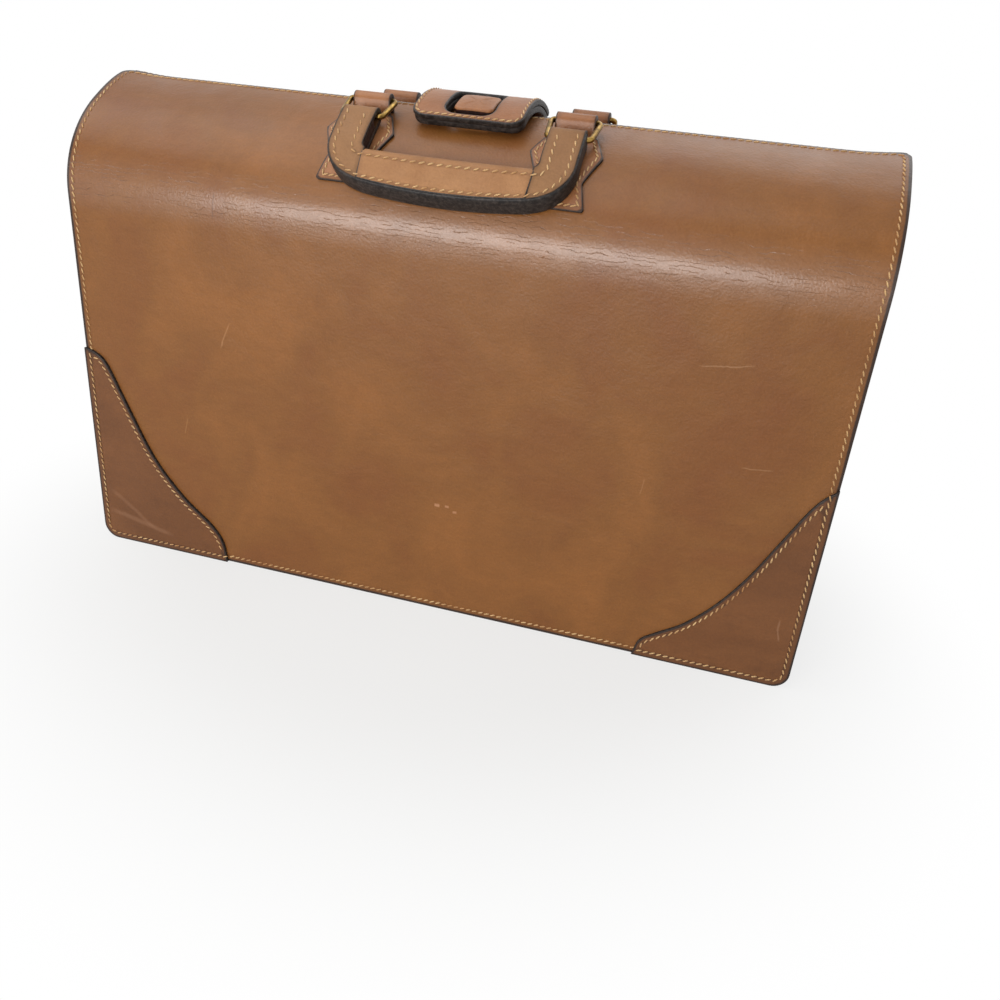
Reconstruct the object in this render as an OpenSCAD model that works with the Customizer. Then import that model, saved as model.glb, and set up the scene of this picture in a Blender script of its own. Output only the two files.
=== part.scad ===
/* [Case] */
// Width of the panels, edge to edge
case_w = 420; // [380:1:480]
// Depth over both panels at the base
case_d = 124; // [118:1:136]
// Height of the upright wall, up to where the shoulder starts
wall_h = 208; // [170:1:260]
// Horizontal half axis of the shoulder curve
shoulder_run = 80; // [76:1:92]
// Vertical half axis of the shoulder curve
shoulder_rise = 60; // [56:1:68]
// Radius of the bottom corners
corner_r = 9; // [4:0.5:9]
// Thickness of the panel leather
panel_t = 3; // [2.4:0.1:3.6]
// Thickness of the panel lining
lining_t = 1.2; // [0.8:0.1:1.8]

/* [Gussets and base] */
// Width of the sewn flanges along the case edges
flange_w = 9; // [9:0.5:12]
// Thickness of the gusset and base leather
gusset_t = 2.5; // [2:0.1:3]
// Depth of the gusset's inward fold at its top
gusset_fold = 30; // [10:1:40]
// Height on the panels' outer face up to which the gusset reaches
gusset_h = 248; // [240:1:252]
// Height of the base leather's underside over the flange edges
base_lift = 9.5; // [9:0.5:12]
// Thickness of the base board
board_t = 3; // [2:0.5:4]

/* [Top edge] */
// Width of the facing inside each top edge
facing_w = 26; // [22:1:30]
// Thickness of the facing
facing_t = 3; // [2.6:0.1:3.6]
// Width of the steel stay
stay_w = 12; // [8:1:14]
// Thickness of the steel stay
stay_t = 1.5; // [1:0.1:1.8]
// Length of the steel stay
stay_l = 370; // [300:1:376]

/* [Corner patches] */
// Width of a corner patch along the bottom edge
patch_w = 84; // [60:1:110]
// Height of a corner patch along the side edge
patch_h = 117; // [80:1:140]
// Radius of the patch's hollow inner edge
patch_r = 330; // [200:5:600]
// Thickness of the corner patches
patch_t = 1.8; // [1.2:0.1:2.4]

/* [Handles] */
// Width over a handle
handle_w = 124; // [116:1:140]
// Width of the handle strip
strip_w = 18; // [15:0.5:19]
// Length of a handle along its curve
handle_l = 46.6; // [44:0.2:52]
// Thickness of a handle
handle_t = 8.6; // [8:0.1:10]
// Thickness of the handle's outer leather
handle_skin = 2; // [1.6:0.1:2.4]
// Radius that the handle is bent to
handle_bend = 110; // [100:1:140]
// Slope of the shoulder where the handle touches it, degrees
touch_slope = 42; // [40:1:46]
// Slope of the handle at its eyes' outer end, degrees
top_slope = 32; // [30:1:34]
// Radius of the handle's outer corners
handle_r = 22; // [14:1:24]
// Length of the grip wrap between its seams
wrap_l = 84; // [70:1:86]
// Clearance between a resting handle and the patch under it
rest_gap = 0.4; // [0.3:0.1:1]

/* [Rings and loops] */
// Distance of the loops from the centre line of the crest
loop_y = 20; // [18:1:22]
// Width of a loop strap
loop_w = 20; // [18:0.5:20.5]
// Thickness of a loop strap
loop_t = 2.2; // [1.6:0.1:2.6]
// Height of the ring bar over the panel
bar_lift = 6.4; // [5:0.1:8]
// Diameter of the ring wire
wire_d = 2.8; // [2.4:0.1:3.2]
// Radial clearance of a ring bar in its eye
bar_fit = 0.05; // [0.02:0.01:0.1]
// Clearance beside a strap between the sides of its ring
side_fit = 0.4; // [0.3:0.1:0.8]
// Width inside the ring at the loop
ring_w = 22; // [21.5:0.1:24]

/* [Chape patches] */
// Thickness of the shaped patches under the handles
chape_t = 1.5; // [1:0.1:2]
// Half width of a shaped patch at its wings
wing_w = 18; // [16:0.5:19]
// Half width of a shaped patch at its waist
waist_w = 11.5; // [10:0.5:14]
// Half width of a shaped patch at its foot
foot_w = 15; // [12:0.5:17]

/* [Closing tab] */
// Width of the closing tab
tab_w = 58; // [52:1:66]
// Radius of the tab's hollow underside
tab_bend = 50; // [48:1:54]
// Gap between the crest and the tab
tab_gap = 2.5; // [2:0.1:4]
// Thickness of the tab's lower ply
under_t = 2.4; // [2:0.1:2.8]
// Thickness of the tab's upper ply
upper_t = 3.1; // [2.4:0.1:3.4]
// Reach of the tab over the back slope
tab_reach = 33; // [32:0.5:35]
// Radius of the tab's near corners
tab_r = 7; // [5:0.5:12]
// Width of the tab's rim between its near edge and the slot
tab_rim = 3.4; // [3:0.1:6]
// Radius of the slot's corners
slot_r = 6; // [4:0.5:10]
// Width of the slot
slot_w = 25; // [24:0.5:30]
// Length of the slot across the crest
slot_l = 30.5; // [30:0.5:32]
// Width of the strap that holds the tab
strap_w = 46; // [36:1:54]
// Length of the anchor that is sewn to the front half
anchor_l = 16; // [12:1:17]
// Thickness of the anchor
anchor_t = 1.4; // [1:0.1:1.5]
// Width of the block in the slot
block_w = 20.5; // [17:0.5:21]
// Length of the block across the crest
block_l = 19.5; // [16:0.5:20]
// Thickness of the leather over the block
cover_t = 1.6; // [1.2:0.1:2]

/* [Hidden] */
$fn = 96;

// Gap between parts that move against each other
move_gap = 0.3;
// Gap between the two top edges
seam_gap = 0.4;
// Steps along the shoulder curve
curve_steps = 22;
// Angle that the curve runs past the centre line before it is cut off
overrun = 6;
// How much smaller an eye is on each side than the end of its handle
eye_step = 0.2;
// How much thinner a ring's sides are than its bars, so that the soldered corners close
side_step = 0.2;
// Angles past upright that the tab's plies are cut from, and where its strap is hinged
tab_near = 50;
tab_far = 30;
strap_far = 42;
// Angle by which the strap starts inside the lower ply
strap_lap = 3;
// Length of the anchor beyond the strap's hinge, under the strap
anchor_lap = 4;
// Size of a cutting block, larger than the case
far = 600;

half_d = case_d / 2;
base_top = base_lift + gusset_t + board_t + lining_t;
wall_x = case_w / 2 - flange_w;
base_l = 2 * (wall_x - gusset_t);
crest_t = acos(1 - half_d / shoulder_run);
eye_r = handle_t / 2 - eye_step;
bore_r = wire_d / 2 + bar_fit;
leg_x = (handle_w - strip_w) / 2;
tab_t = under_t + upper_t;

// Points and normals of the back half's outer face, as [y, z]
function outer(t) = [-half_d + shoulder_run * (1 - cos(t)), wall_h + shoulder_rise * sin(t)];
function steep(t) = [-cos(t) / shoulder_run, sin(t) / shoulder_rise];
function outward(t) = steep(t) / norm(steep(t));
function face(t, depth) = outer(t) - depth * outward(t);
function angle_at(y) = acos(1 - (half_d - abs(y)) / shoulder_run);
function angle_of_slope(slope) = atan(shoulder_rise / (shoulder_run * tan(slope)));
function slope_at(t) = atan2(-outward(t)[0], outward(t)[1]);
function curve(depth) = [
  for (i = [0 : curve_steps]) face((crest_t + overrun) * i / curve_steps, depth)
];
function ray(angle, r) = r * [-sin(angle), cos(angle)];

// Places that several parts share, as [y, z]
touch_t = angle_of_slope(touch_slope);
handle_centre = outer(touch_t)
  + (chape_t + rest_gap + handle_t / 2 - handle_bend) * outward(touch_t);
bend_per_mm = 180 / (PI * handle_bend);
eye_slope = top_slope + eye_r * bend_per_mm;
low_slope = top_slope + handle_l * bend_per_mm;
eye_at = handle_centre + ray(eye_slope, handle_bend);
loop_at = [-loop_y, outer(angle_at(loop_y))[1] + bar_lift];
crest_z = outer(crest_t)[1];
tab_centre = [0, crest_z + tab_gap - tab_bend];
strap_at = tab_centre + ray(-strap_far, tab_bend + under_t / 2);

echo(eye_at = eye_at, loop_at = loop_at, strap_at = strap_at, crest_z = crest_z);

// Extrudes an outline of [y, z] along X
module along_x(w) rotate([90, 0, 90]) linear_extrude(height = w, center = true) children();

// Extrudes an outline of [x, z] along Y
module along_y(d) rotate([90, 0, 0]) linear_extrude(height = d, center = true) children();

module at_side(front) {
  if (front) mirror([0, 1, 0]) children();
  else children();
}

// Square with its two lower corners rounded, standing on y = 0
module cup_outline(w, h, r) {
  intersection() {
    translate([-w / 2, 0]) square([w, h]);
    union() {
      translate([-w / 2, r]) square([w, h]);
      translate([-w / 2 + r, 0]) square([w - 2 * r, r + 1]);
      for (x = [-1, 1]) translate([x * (w / 2 - r), r]) circle(r = r);
    }
  }
}

module round_rect(w, d, r) {
  square([w - 2 * r, d], center = true);
  square([w, d - 2 * r], center = true);
  for (x = [-1, 1], y = [-1, 1]) translate([x * (w / 2 - r), y * (d / 2 - r)]) circle(r = r);
}

// Section of the back half between two depths under its outer face
module skin(top, bottom) {
  intersection() {
    polygon(concat(
      [[-half_d + top, 0]], curve(top),
      [for (i = [curve_steps : -1 : 0]) curve(bottom)[i]], [[-half_d + bottom, 0]]
    ));
    translate([-far, 0]) square([far - seam_gap / 2, far]);
  }
}

// Everything under a depth of the back half's outer face
module inside(depth) {
  polygon(concat([[0, 0], [-half_d + depth, 0]], curve(depth)));
}

module case_outline() cup_outline(case_w, far, corner_r);

module y_band(from, to) translate([from, 0]) square([to - from, far]);

module panel(front) {
  color("sienna") at_side(front) intersection() {
    along_x(case_w) skin(0, panel_t);
    along_y(far) case_outline();
  }
}

module lining(front) {
  color("tan") at_side(front) along_x(base_l - 2 * move_gap) intersection() {
    skin(panel_t, panel_t + lining_t);
    translate([-far, base_top + move_gap]) square([far - facing_w - move_gap, far]);
  }
}

module stay_section() intersection() {
  skin(panel_t, panel_t + stay_t);
  y_band(-(facing_w + stay_w) / 2, -(facing_w - stay_w) / 2);
}

module stay(front) {
  color("slategray") at_side(front) along_x(stay_l) stay_section();
}

module facing(front) {
  color("sienna") at_side(front) difference() {
    along_x(base_l - 2 * move_gap) intersection() {
      skin(panel_t, panel_t + facing_t);
      y_band(-facing_w, 0);
    }
    along_x(stay_l) stay_section();
  }
}

// Strip of the case edge that is sewn to a panel, moved off the front one
module base_flange(gap) {
  y0 = half_d - panel_t - gap - gusset_t;
  translate([-base_l / 2, y0, 0]) cube([base_l, gusset_t, base_lift + gusset_t]);
}

module base_leather() {
  color("sienna") union() {
    y0 = half_d - panel_t - gusset_t;
    plate_l = base_l - 2 * move_gap;
    translate([-plate_l / 2, -y0, base_lift]) cube([plate_l, 2 * y0 - move_gap, gusset_t]);
    mirror([0, 1, 0]) base_flange(0);
    base_flange(move_gap);
  }
}

module base_sheet(z, t) {
  l = base_l - 2 * gusset_t;
  d = case_d - 2 * (panel_t + gusset_t) - 2 * move_gap;
  translate([-l / 2, -d / 2, z]) cube([l, d, t]);
}

module base_board() color("burlywood") base_sheet(base_lift + gusset_t, board_t);

module base_lining() color("tan") base_sheet(base_lift + gusset_t + board_t, lining_t);

// Edge of the gusset wall by step, as [half depth, z]: up the wall, then along the shoulder
lower_steps = 9;
wall_steps = 15;
gusset_cols = 12;
gusset_depth = panel_t + move_gap + gusset_t / 2;
gusset_t_end = asin((gusset_h - wall_h) / shoulder_rise);
function edge_t(i) = max(0, gusset_t_end * (i - lower_steps) / (wall_steps - lower_steps));
function wall_edge(i) = [
  -face(edge_t(i), gusset_depth)[0],
  min(face(edge_t(i), gusset_depth)[1], base_lift + (wall_h - base_lift) * i / lower_steps)
];
function fold_at(i, u) = gusset_fold * i / wall_steps * (1 + cos(180 * u)) / 2;
function wall_point(i, j, t) = let (u = 2 * j / gusset_cols - 1)
  [wall_x - fold_at(i, u) - t, u * wall_edge(i)[0], wall_edge(i)[1]];

// The wall is one closed sheet: outer points first, then the inner ones
module gusset_wall() {
  cols = gusset_cols + 1;
  half = cols * (wall_steps + 1);
  points = [
    for (t = [0, gusset_t], i = [0 : wall_steps], j = [0 : gusset_cols]) wall_point(i, j, t)
  ];
  grid = [for (i = [0 : wall_steps - 1], j = [0 : gusset_cols - 1]) i * cols + j];
  rim = concat(
    [for (j = [0 : gusset_cols - 1]) [j, j + 1]],
    [for (i = [0 : wall_steps - 1]) [(i + 1) * cols - 1, (i + 2) * cols - 1]],
    [for (j = [gusset_cols : -1 : 1]) [wall_steps * cols + j, wall_steps * cols + j - 1]],
    [for (i = [wall_steps : -1 : 1]) [i * cols, (i - 1) * cols]]
  );
  faces = concat(
    [for (k = grid) [k, k + cols, k + cols + 1]],
    [for (k = grid) [k, k + cols + 1, k + 1]],
    [for (k = grid) [half + k, half + k + cols + 1, half + k + cols]],
    [for (k = grid) [half + k, half + k + 1, half + k + cols + 1]],
    [for (e = rim) [e[0], e[1], half + e[1]]],
    [for (e = rim) [e[0], half + e[1], half + e[0]]]
  );
  polyhedron(points = points, faces = faces);
}

module gusset_flange(gap) {
  intersection() {
    translate([(case_w + base_l) / 4, 0, 0]) along_x((case_w - base_l) / 2)
      skin(panel_t + gap, panel_t + gap + gusset_t);
    along_y(far) case_outline();
  }
}

module gusset(right) {
  color("saddlebrown") mirror([right ? 0 : 1, 0, 0]) union() {
    gusset_flange(0);
    mirror([0, 1, 0]) gusset_flange(move_gap);
    gusset_wall();
  }
}

// Triangle in the lower corner with a hollow inner edge
module corner_patch(front, right) {
  chord = norm([patch_w, patch_h]);
  reach = sqrt(patch_r * patch_r - chord * chord / 4);
  middle = [case_w / 2 - patch_w / 2, patch_h / 2];
  away = [-patch_h, patch_w] / chord;
  color("saddlebrown") at_side(front) mirror([right ? 0 : 1, 0, 0]) intersection() {
    translate([0, -half_d - patch_t / 2, 0]) along_y(patch_t) difference() {
      intersection() {
        case_outline();
        translate([case_w / 2 - patch_w, 0]) square([patch_w, patch_h]);
      }
      translate(middle + reach * away) circle(r = patch_r, $fn = 360);
    }
  }
}

module on_slope(t) {
  translate([0, outer(t)[0], outer(t)[1]]) rotate([slope_at(t), 0, 0]) children();
}

// Shaped patch, laid out on the tangent plane at its middle, with heights from there
chape_top = 24;
wing_at = 9;
waist_at = -7;
chape_foot = -21;
chape_margin = 2;
module chape_outline() {
  half = [
    [loop_w / 2 + chape_margin, chape_top], [wing_w, wing_at], [waist_w, waist_at], [foot_w, chape_foot]
  ];
  polygon(concat(half, [for (i = [3 : -1 : 0]) [-half[i][0], half[i][1]]]));
}

module loop_section(grow) {
  difference() {
    union() {
      translate(loop_at) circle(r = bore_r + loop_t + grow);
      translate([loop_at[0] - bore_r - loop_t - grow, 0])
        square([2 * (bore_r + loop_t + grow), loop_at[1]]);
    }
    inside(0);
  }
}

module side_x(right) translate([right ? leg_x : -leg_x, 0, 0]) children();

module chape_patch(front, right) {
  color("saddlebrown") at_side(front) side_x(right) difference() {
    intersection() {
      along_x(2 * wing_w) skin(-chape_t, 0);
      on_slope(touch_t) translate([0, 0, -wing_w]) linear_extrude(2 * wing_w) chape_outline();
    }
    along_x(loop_w + 2 * side_fit) loop_section(side_fit);
  }
}

module chape_loop(front, right) {
  color("peru") at_side(front) side_x(right) along_x(loop_w) difference() {
    loop_section(0);
    translate(loop_at) circle(r = bore_r);
    translate([loop_at[0] - bore_r, 0]) square([2 * bore_r, loop_at[1]]);
  }
}

module rod(a, b, d) {
  run = b - a;
  translate(a) rotate([0, acos(run[2] / norm(run)), atan2(run[1], run[0])])
    cylinder(h = norm(run), d = d);
}

// Wire ring lying in its own plane: two bars along X joined by two slightly thinner sides
module ring(front, right) {
  near_x = strip_w / 2 + side_fit + wire_d / 2;
  far_x = ring_w / 2 + wire_d / 2;
  run = eye_at - loop_at;
  l = norm(run);
  color("goldenrod") at_side(front) side_x(right) translate([0, loop_at[0], loop_at[1]])
    rotate([atan2(run[1], run[0]), 0, 0]) {
      rod([-far_x - wire_d / 2, 0, 0], [far_x + wire_d / 2, 0, 0], wire_d);
      rod([-near_x - wire_d / 2, l, 0], [near_x + wire_d / 2, l, 0], wire_d);
      for (x = [-1, 1]) rod([x * far_x, 0, 0], [x * near_x, l, 0], wire_d - side_step);
    }
}

// The handle's parts are cut from one bent sheet, between two bend radii
mid_slope = (eye_slope + low_slope) / 2;
flat_l = handle_l - eye_r;

module handle_sheet(r1, r2, l) {
  c = handle_centre;
  m = c + ray(mid_slope, handle_bend);
  intersection() {
    translate([0, c[0], c[1]]) along_x(2 * handle_w) difference() {
      circle(r = r2, $fn = 360);
      circle(r = r1, $fn = 360);
    }
    translate([0, m[0], m[1]]) rotate([mid_slope, 0, 0]) translate([0, -flat_l / 2, -handle_t])
      linear_extrude(2 * handle_t) difference() {
        cup_outline(handle_w, l, handle_r);
        translate([0, strip_w]) cup_outline(handle_w - 2 * strip_w, far, handle_skin * 2);
        if (l < flat_l)
          translate([handle_skin - wrap_l / 2, strip_w - handle_skin])
            square([wrap_l - 2 * handle_skin, handle_skin + 1]);
      }
  }
}

module eyes(w) {
  for (right = [false, true]) side_x(right)
    translate([0, eye_at[0], eye_at[1]]) rotate([0, 90, 0])
      cylinder(r = eye_r, h = w, center = true);
}

module eye_bores() {
  translate([0, eye_at[0], eye_at[1]]) rotate([0, 90, 0])
    cylinder(r = bore_r, h = 2 * handle_w, center = true);
}

// The core ends below the eyes and leaves the grip wrap room on its inner edge
module handle_core_shape() {
  r = handle_t / 2 - handle_skin;
  handle_sheet(handle_bend - r, handle_bend + r, flat_l - eye_r - handle_skin);
}

module handle_leather() {
  difference() {
    union() {
      handle_sheet(handle_bend - handle_t / 2, handle_bend + handle_t / 2, flat_l);
      eyes(strip_w - 2 * eye_step);
    }
    handle_core_shape();
    eye_bores();
  }
}

module handle_core(front) color("black") at_side(front) handle_core_shape();

module handle_legs(front) {
  color("peru") at_side(front) difference() {
    handle_leather();
    cube([wrap_l, far, far * 2], center = true);
  }
}

module grip_wrap(front) {
  color("peru") at_side(front) intersection() {
    handle_leather();
    cube([wrap_l, far, far * 2], center = true);
  }
}

// Section of the closing tab between two radii and two angles from upright
module tab_section(r1, r2, near, end) {
  translate(tab_centre) intersection() {
    difference() {
      circle(r = r2, $fn = 240);
      circle(r = r1, $fn = 240);
    }
    polygon([[0, 0], ray(near, 2 * tab_bend), ray(0, 2 * tab_bend), ray(-end, 2 * tab_bend)]);
  }
}

module tab_plan() {
  l = 2 * tab_reach;
  translate([0, 0, 1]) linear_extrude(far) difference() {
    round_rect(tab_w, l, tab_r);
    translate([0, -tab_reach + tab_rim + slot_l / 2]) round_rect(slot_w, slot_l, slot_r);
  }
}

module tab_upper() {
  color("peru") intersection() {
    along_x(tab_w) tab_section(tab_bend + under_t, tab_bend + tab_t, tab_near, tab_far);
    tab_plan();
  }
}

module tab_under() {
  color("saddlebrown") union() {
    intersection() {
      along_x(tab_w) tab_section(tab_bend, tab_bend + under_t, tab_near, tab_far);
      tab_plan();
    }
    along_x(strap_w) tab_section(tab_bend, tab_bend + under_t, -tab_far + strap_lap, strap_far);
    translate([0, strap_at[0], strap_at[1]]) rotate([0, 90, 0])
      cylinder(d = under_t, h = strap_w, center = true, $fn = 48);
  }
}

module tab_anchor() {
  color("saddlebrown") at_side(true) along_x(strap_w) intersection() {
    skin(-anchor_t, 0);
    y_band(-strap_at[0] - anchor_l + anchor_lap, -strap_at[0] + anchor_lap);
  }
}

// Block with a rounded top, square to the slope under the tab and lower than the tab's top
block_tilt = 17.5;
block_r = 5;
block_drop = 1.1;
module block_section(inset) {
  top = tab_bend + tab_t - block_drop - inset;
  difference() {
    intersection() {
      translate(tab_centre) circle(r = top, $fn = 240);
      translate(tab_centre) rotate(block_tilt) translate([0, top]) mirror([0, 1])
        cup_outline(block_l - 2 * inset, tab_bend / 2, block_r - inset);
    }
    inside(0);
  }
}

module block_core() color("dimgray") along_x(block_w - 2 * cover_t) block_section(cover_t);

module block_cover() {
  color("peru") difference() {
    along_x(block_w) block_section(0);
    along_x(block_w - 2 * cover_t) block_section(cover_t);
  }
}

panel(false);  // back_panel
panel(true);  // front_panel
lining(false);  // back_lining
lining(true);  // front_lining
facing(false);  // back_facing
facing(true);  // front_facing
stay(false);  // back_stay
stay(true);  // front_stay
base_leather();
base_board();
base_lining();
gusset(false);  // gusset_left
gusset(true);  // gusset_right
corner_patch(false, false);  // corner_patch_back_left
corner_patch(false, true);  // corner_patch_back_right
corner_patch(true, false);  // corner_patch_front_left
corner_patch(true, true);  // corner_patch_front_right
chape_patch(false, false);  // chape_patch_back_left
chape_patch(false, true);  // chape_patch_back_right
chape_patch(true, false);  // chape_patch_front_left
chape_patch(true, true);  // chape_patch_front_right
chape_loop(false, false);  // chape_loop_back_left
chape_loop(false, true);  // chape_loop_back_right
chape_loop(true, false);  // chape_loop_front_left
chape_loop(true, true);  // chape_loop_front_right
ring(false, false);  // ring_back_left
ring(false, true);  // ring_back_right
ring(true, false);  // ring_front_left
ring(true, true);  // ring_front_right
handle_core(false);  // handle_core_back
handle_core(true);  // handle_core_front
handle_legs(false);  // handle_legs_back
handle_legs(true);  // handle_legs_front
grip_wrap(false);  // grip_wrap_back
grip_wrap(true);  // grip_wrap_front
tab_upper();
tab_under();
tab_anchor();
block_core();
block_cover();
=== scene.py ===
import math
import random
from functools import partial

import bpy
import numpy as np
from mathutils import Matrix, Vector


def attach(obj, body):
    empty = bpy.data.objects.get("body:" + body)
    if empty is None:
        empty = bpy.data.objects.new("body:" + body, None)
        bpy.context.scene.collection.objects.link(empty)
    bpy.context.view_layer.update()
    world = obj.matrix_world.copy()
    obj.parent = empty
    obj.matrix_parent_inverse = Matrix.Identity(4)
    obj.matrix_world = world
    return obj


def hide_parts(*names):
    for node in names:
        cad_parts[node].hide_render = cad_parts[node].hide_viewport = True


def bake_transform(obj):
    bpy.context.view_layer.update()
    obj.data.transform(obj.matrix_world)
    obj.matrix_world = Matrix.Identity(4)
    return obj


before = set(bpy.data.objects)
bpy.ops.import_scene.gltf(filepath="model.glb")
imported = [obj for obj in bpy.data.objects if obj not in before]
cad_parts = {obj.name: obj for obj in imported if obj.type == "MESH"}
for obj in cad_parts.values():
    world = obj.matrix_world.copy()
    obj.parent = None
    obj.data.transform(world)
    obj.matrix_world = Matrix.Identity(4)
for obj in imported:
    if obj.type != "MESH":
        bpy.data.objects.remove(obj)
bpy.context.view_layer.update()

random.seed(7)
print("frame loaded")


# small helpers

def linearColour(hexText, alpha=1.0):  # sRGB hex to the linear colour that nodes take
    channels = [int(hexText[i:i + 2], 16) / 255 for i in (1, 3, 5)]
    return tuple(c / 12.92 if c <= 0.04045 else ((c + 0.055) / 1.055) ** 2.4 for c in channels) + (alpha,)


def setInputs(tree, node, values):  # each input is given a value or a link
    for socket, value in values.items():
        if isinstance(value, bpy.types.NodeSocket):
            tree.links.new(value, node.inputs[socket])
        else:
            node.inputs[socket].default_value = value


def addNode(tree, kind, values=None, **settings):
    node = tree.nodes.new(kind)
    for name, value in settings.items():
        setattr(node, name, value)
    setInputs(tree, node, values or {})
    return node


def newMaterial(name):
    material = bpy.data.materials.new(name)
    material.use_nodes = True
    tree = material.node_tree
    shader = tree.nodes["Principled BSDF"]
    return material, tree, shader


def deselect():
    if bpy.context.object and bpy.context.object.mode != "OBJECT":
        bpy.ops.object.mode_set(mode="OBJECT")
    bpy.ops.object.select_all(action="DESELECT")


def pick(*pieces):
    deselect()
    for piece in pieces:
        piece.select_set(True)
    bpy.context.view_layer.objects.active = pieces[0]


def applyAll(piece):
    pick(piece)
    for modifier in list(piece.modifiers):
        bpy.ops.object.modifier_apply(modifier=modifier.name)


def smooth(piece, angle=40):
    pick(piece)
    bpy.ops.object.shade_smooth_by_angle(angle=math.radians(angle))


def named(name):  # the piece that Blender has just made or changed
    piece = bpy.context.object
    piece.name = piece.data.name = name
    return piece


def joined(name, *pieces):
    pick(*pieces)
    bpy.ops.object.join()
    return named(name)


def inEditMode(*steps):  # each step works on the whole mesh
    bpy.ops.object.mode_set(mode="EDIT")
    for step in steps:
        bpy.ops.mesh.select_all(action="SELECT")
        step()
    bpy.ops.mesh.select_all(action="SELECT")
    bpy.ops.object.mode_set(mode="OBJECT")


def newObject(name, data):
    thing = bpy.data.objects.new(name, data)
    bpy.context.scene.collection.objects.link(thing)
    return thing


def copied(piece, name, matrix):  # a copy with its own mesh, moved in its mesh
    mesh = piece.data.copy()
    mesh.name = name
    mesh.transform(matrix)
    if matrix.determinant() < 0:
        mesh.flip_normals()
    return newObject(name, mesh)


def finishPiece(piece, body, slot, *nodes):
    if nodes:
        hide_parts(*nodes)
    if body:
        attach(piece, body)


halfTurn = Matrix.Rotation(math.pi, 4, "Z")  # the front is the back turned round
mirrorX = Matrix.Scale(-1, 4, (1, 0, 0))


def atFourPlaces(backRight, stem, backLeft=None):  # back right, back left, front right, front left
    backLeft = backLeft or copied(backRight, stem + "BackLeft", mirrorX)
    return [backRight, backLeft, copied(backLeft, stem + "FrontRight", halfTurn),
            copied(backRight, stem + "FrontLeft", halfTurn)]


# the shapes that every leather piece follows

case = {
    "width": 0.420,
    "halfDepth": 0.062,
    "wallHeight": 0.208,
    "shoulderRun": 0.080,
    "shoulderRise": 0.060,
    "cornerRadius": 0.009,
    "panel": 0.003,
    "seamHalf": 0.0002,
    "endCurl": 0.0020,     # how far the top corners have curled up with age
    "curlLength": 0.026,   # along the width, and down from the top edge
    "curlReach": 0.034,
    "topCorner": 0.0075,
}


def shoulderPoint(turn):
    return (case["shoulderRun"] * (1 - math.cos(turn)) - case["halfDepth"],
            case["wallHeight"] + case["shoulderRise"] * math.sin(turn))


def shoulderNormal(turn):
    y, z = -math.cos(turn) / case["shoulderRun"], math.sin(turn) / case["shoulderRise"]
    size = math.hypot(y, z)
    return y / size, z / size


def turnAtY(y):
    return math.acos(1 - (case["halfDepth"] - abs(y)) / case["shoulderRun"])


def turnAtSlope(degrees):
    return math.atan(case["shoulderRise"] / (case["shoulderRun"] * math.tan(math.radians(degrees))))


lastTurn = turnAtY(case["seamHalf"])
arcTurns = [lastTurn * i / 300 for i in range(301)]
arcLengths = [0.0]
for before, after in zip(arcTurns, arcTurns[1:]):
    arcLengths.append(arcLengths[-1] + math.dist(shoulderPoint(before), shoulderPoint(after)))
panelHeight = case["wallHeight"] + arcLengths[-1]


def lengthAtTurn(turn):  # height along the leather, from the bottom edge
    return case["wallHeight"] + float(np.interp(turn, arcTurns, arcLengths))


def softStep(low, high, value):
    t = min(1, max(0, (value - low) / (high - low)))
    return t * t * (3 - 2 * t)


def onCase(x, s, h):  # x across, s up along the leather, h out of its face, on the back half
    if s <= case["wallHeight"]:
        y, z, ny, nz = -case["halfDepth"], s, -1.0, 0.0
    else:
        turn = float(np.interp(s - case["wallHeight"], arcLengths, arcTurns))
        (y, z), (ny, nz) = shoulderPoint(turn), shoulderNormal(turn)
        over = s - panelHeight
        if over > 0:
            y, z = y + over * nz, z - over * ny
    curl = case["endCurl"] * max(0, 1 - (case["width"] / 2 - abs(x)) / case["curlLength"]) ** 1.7 \
        * softStep(panelHeight - case["curlReach"], panelHeight, s)
    return Vector((x, y + ny * (h + curl), z + nz * (h + curl)))


def cornerRounds(corners):  # a polygon of (x, y, radius) as plain points, anticlockwise
    points = []
    for i, (x, y, radius) in enumerate(corners):
        p = Vector((x, y))
        if radius <= 0:
            points.append(p)
            continue
        a = (Vector(corners[i - 1][:2]) - p).normalized()
        b = (Vector(corners[(i + 1) % len(corners)][:2]) - p).normalized()
        half = a.angle(b) / 2
        centre = p + (a + b).normalized() * radius / math.sin(half)
        start, end = p + a * radius / math.tan(half) - centre, p + b * radius / math.tan(half) - centre
        sweep = math.atan2(start.cross(end), start.dot(end))
        steps = max(3, math.ceil(abs(sweep) / math.radians(11)))
        for k in range(steps + 1):
            turn = sweep * k / steps
            points.append(centre + Vector((start.x * math.cos(turn) - start.y * math.sin(turn),
                                           start.x * math.sin(turn) + start.y * math.cos(turn))))
    return points


def rectangle(width, low, high, lowRadius=0, highRadius=0):
    half = width / 2
    return [(-half, low, lowRadius), (half, low, lowRadius), (half, high, highRadius), (-half, high, highRadius)]


def insetCorners(corners, distance):  # the same polygon, smaller all round
    result = []
    count = len(corners)
    for i, (x, y, radius) in enumerate(corners):
        p = Vector((x, y))
        a = (p - Vector(corners[i - 1][:2])).normalized()
        b = (Vector(corners[(i + 1) % count][:2]) - p).normalized()
        na, nb = Vector((-a.y, a.x)), Vector((-b.y, b.x))
        inward = (na + nb) / (1 + na.dot(nb))
        q = p + inward * distance
        result.append((q.x, q.y, max(0.0, radius - distance if a.cross(b) > 0 else radius + distance)))
    return result


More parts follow.
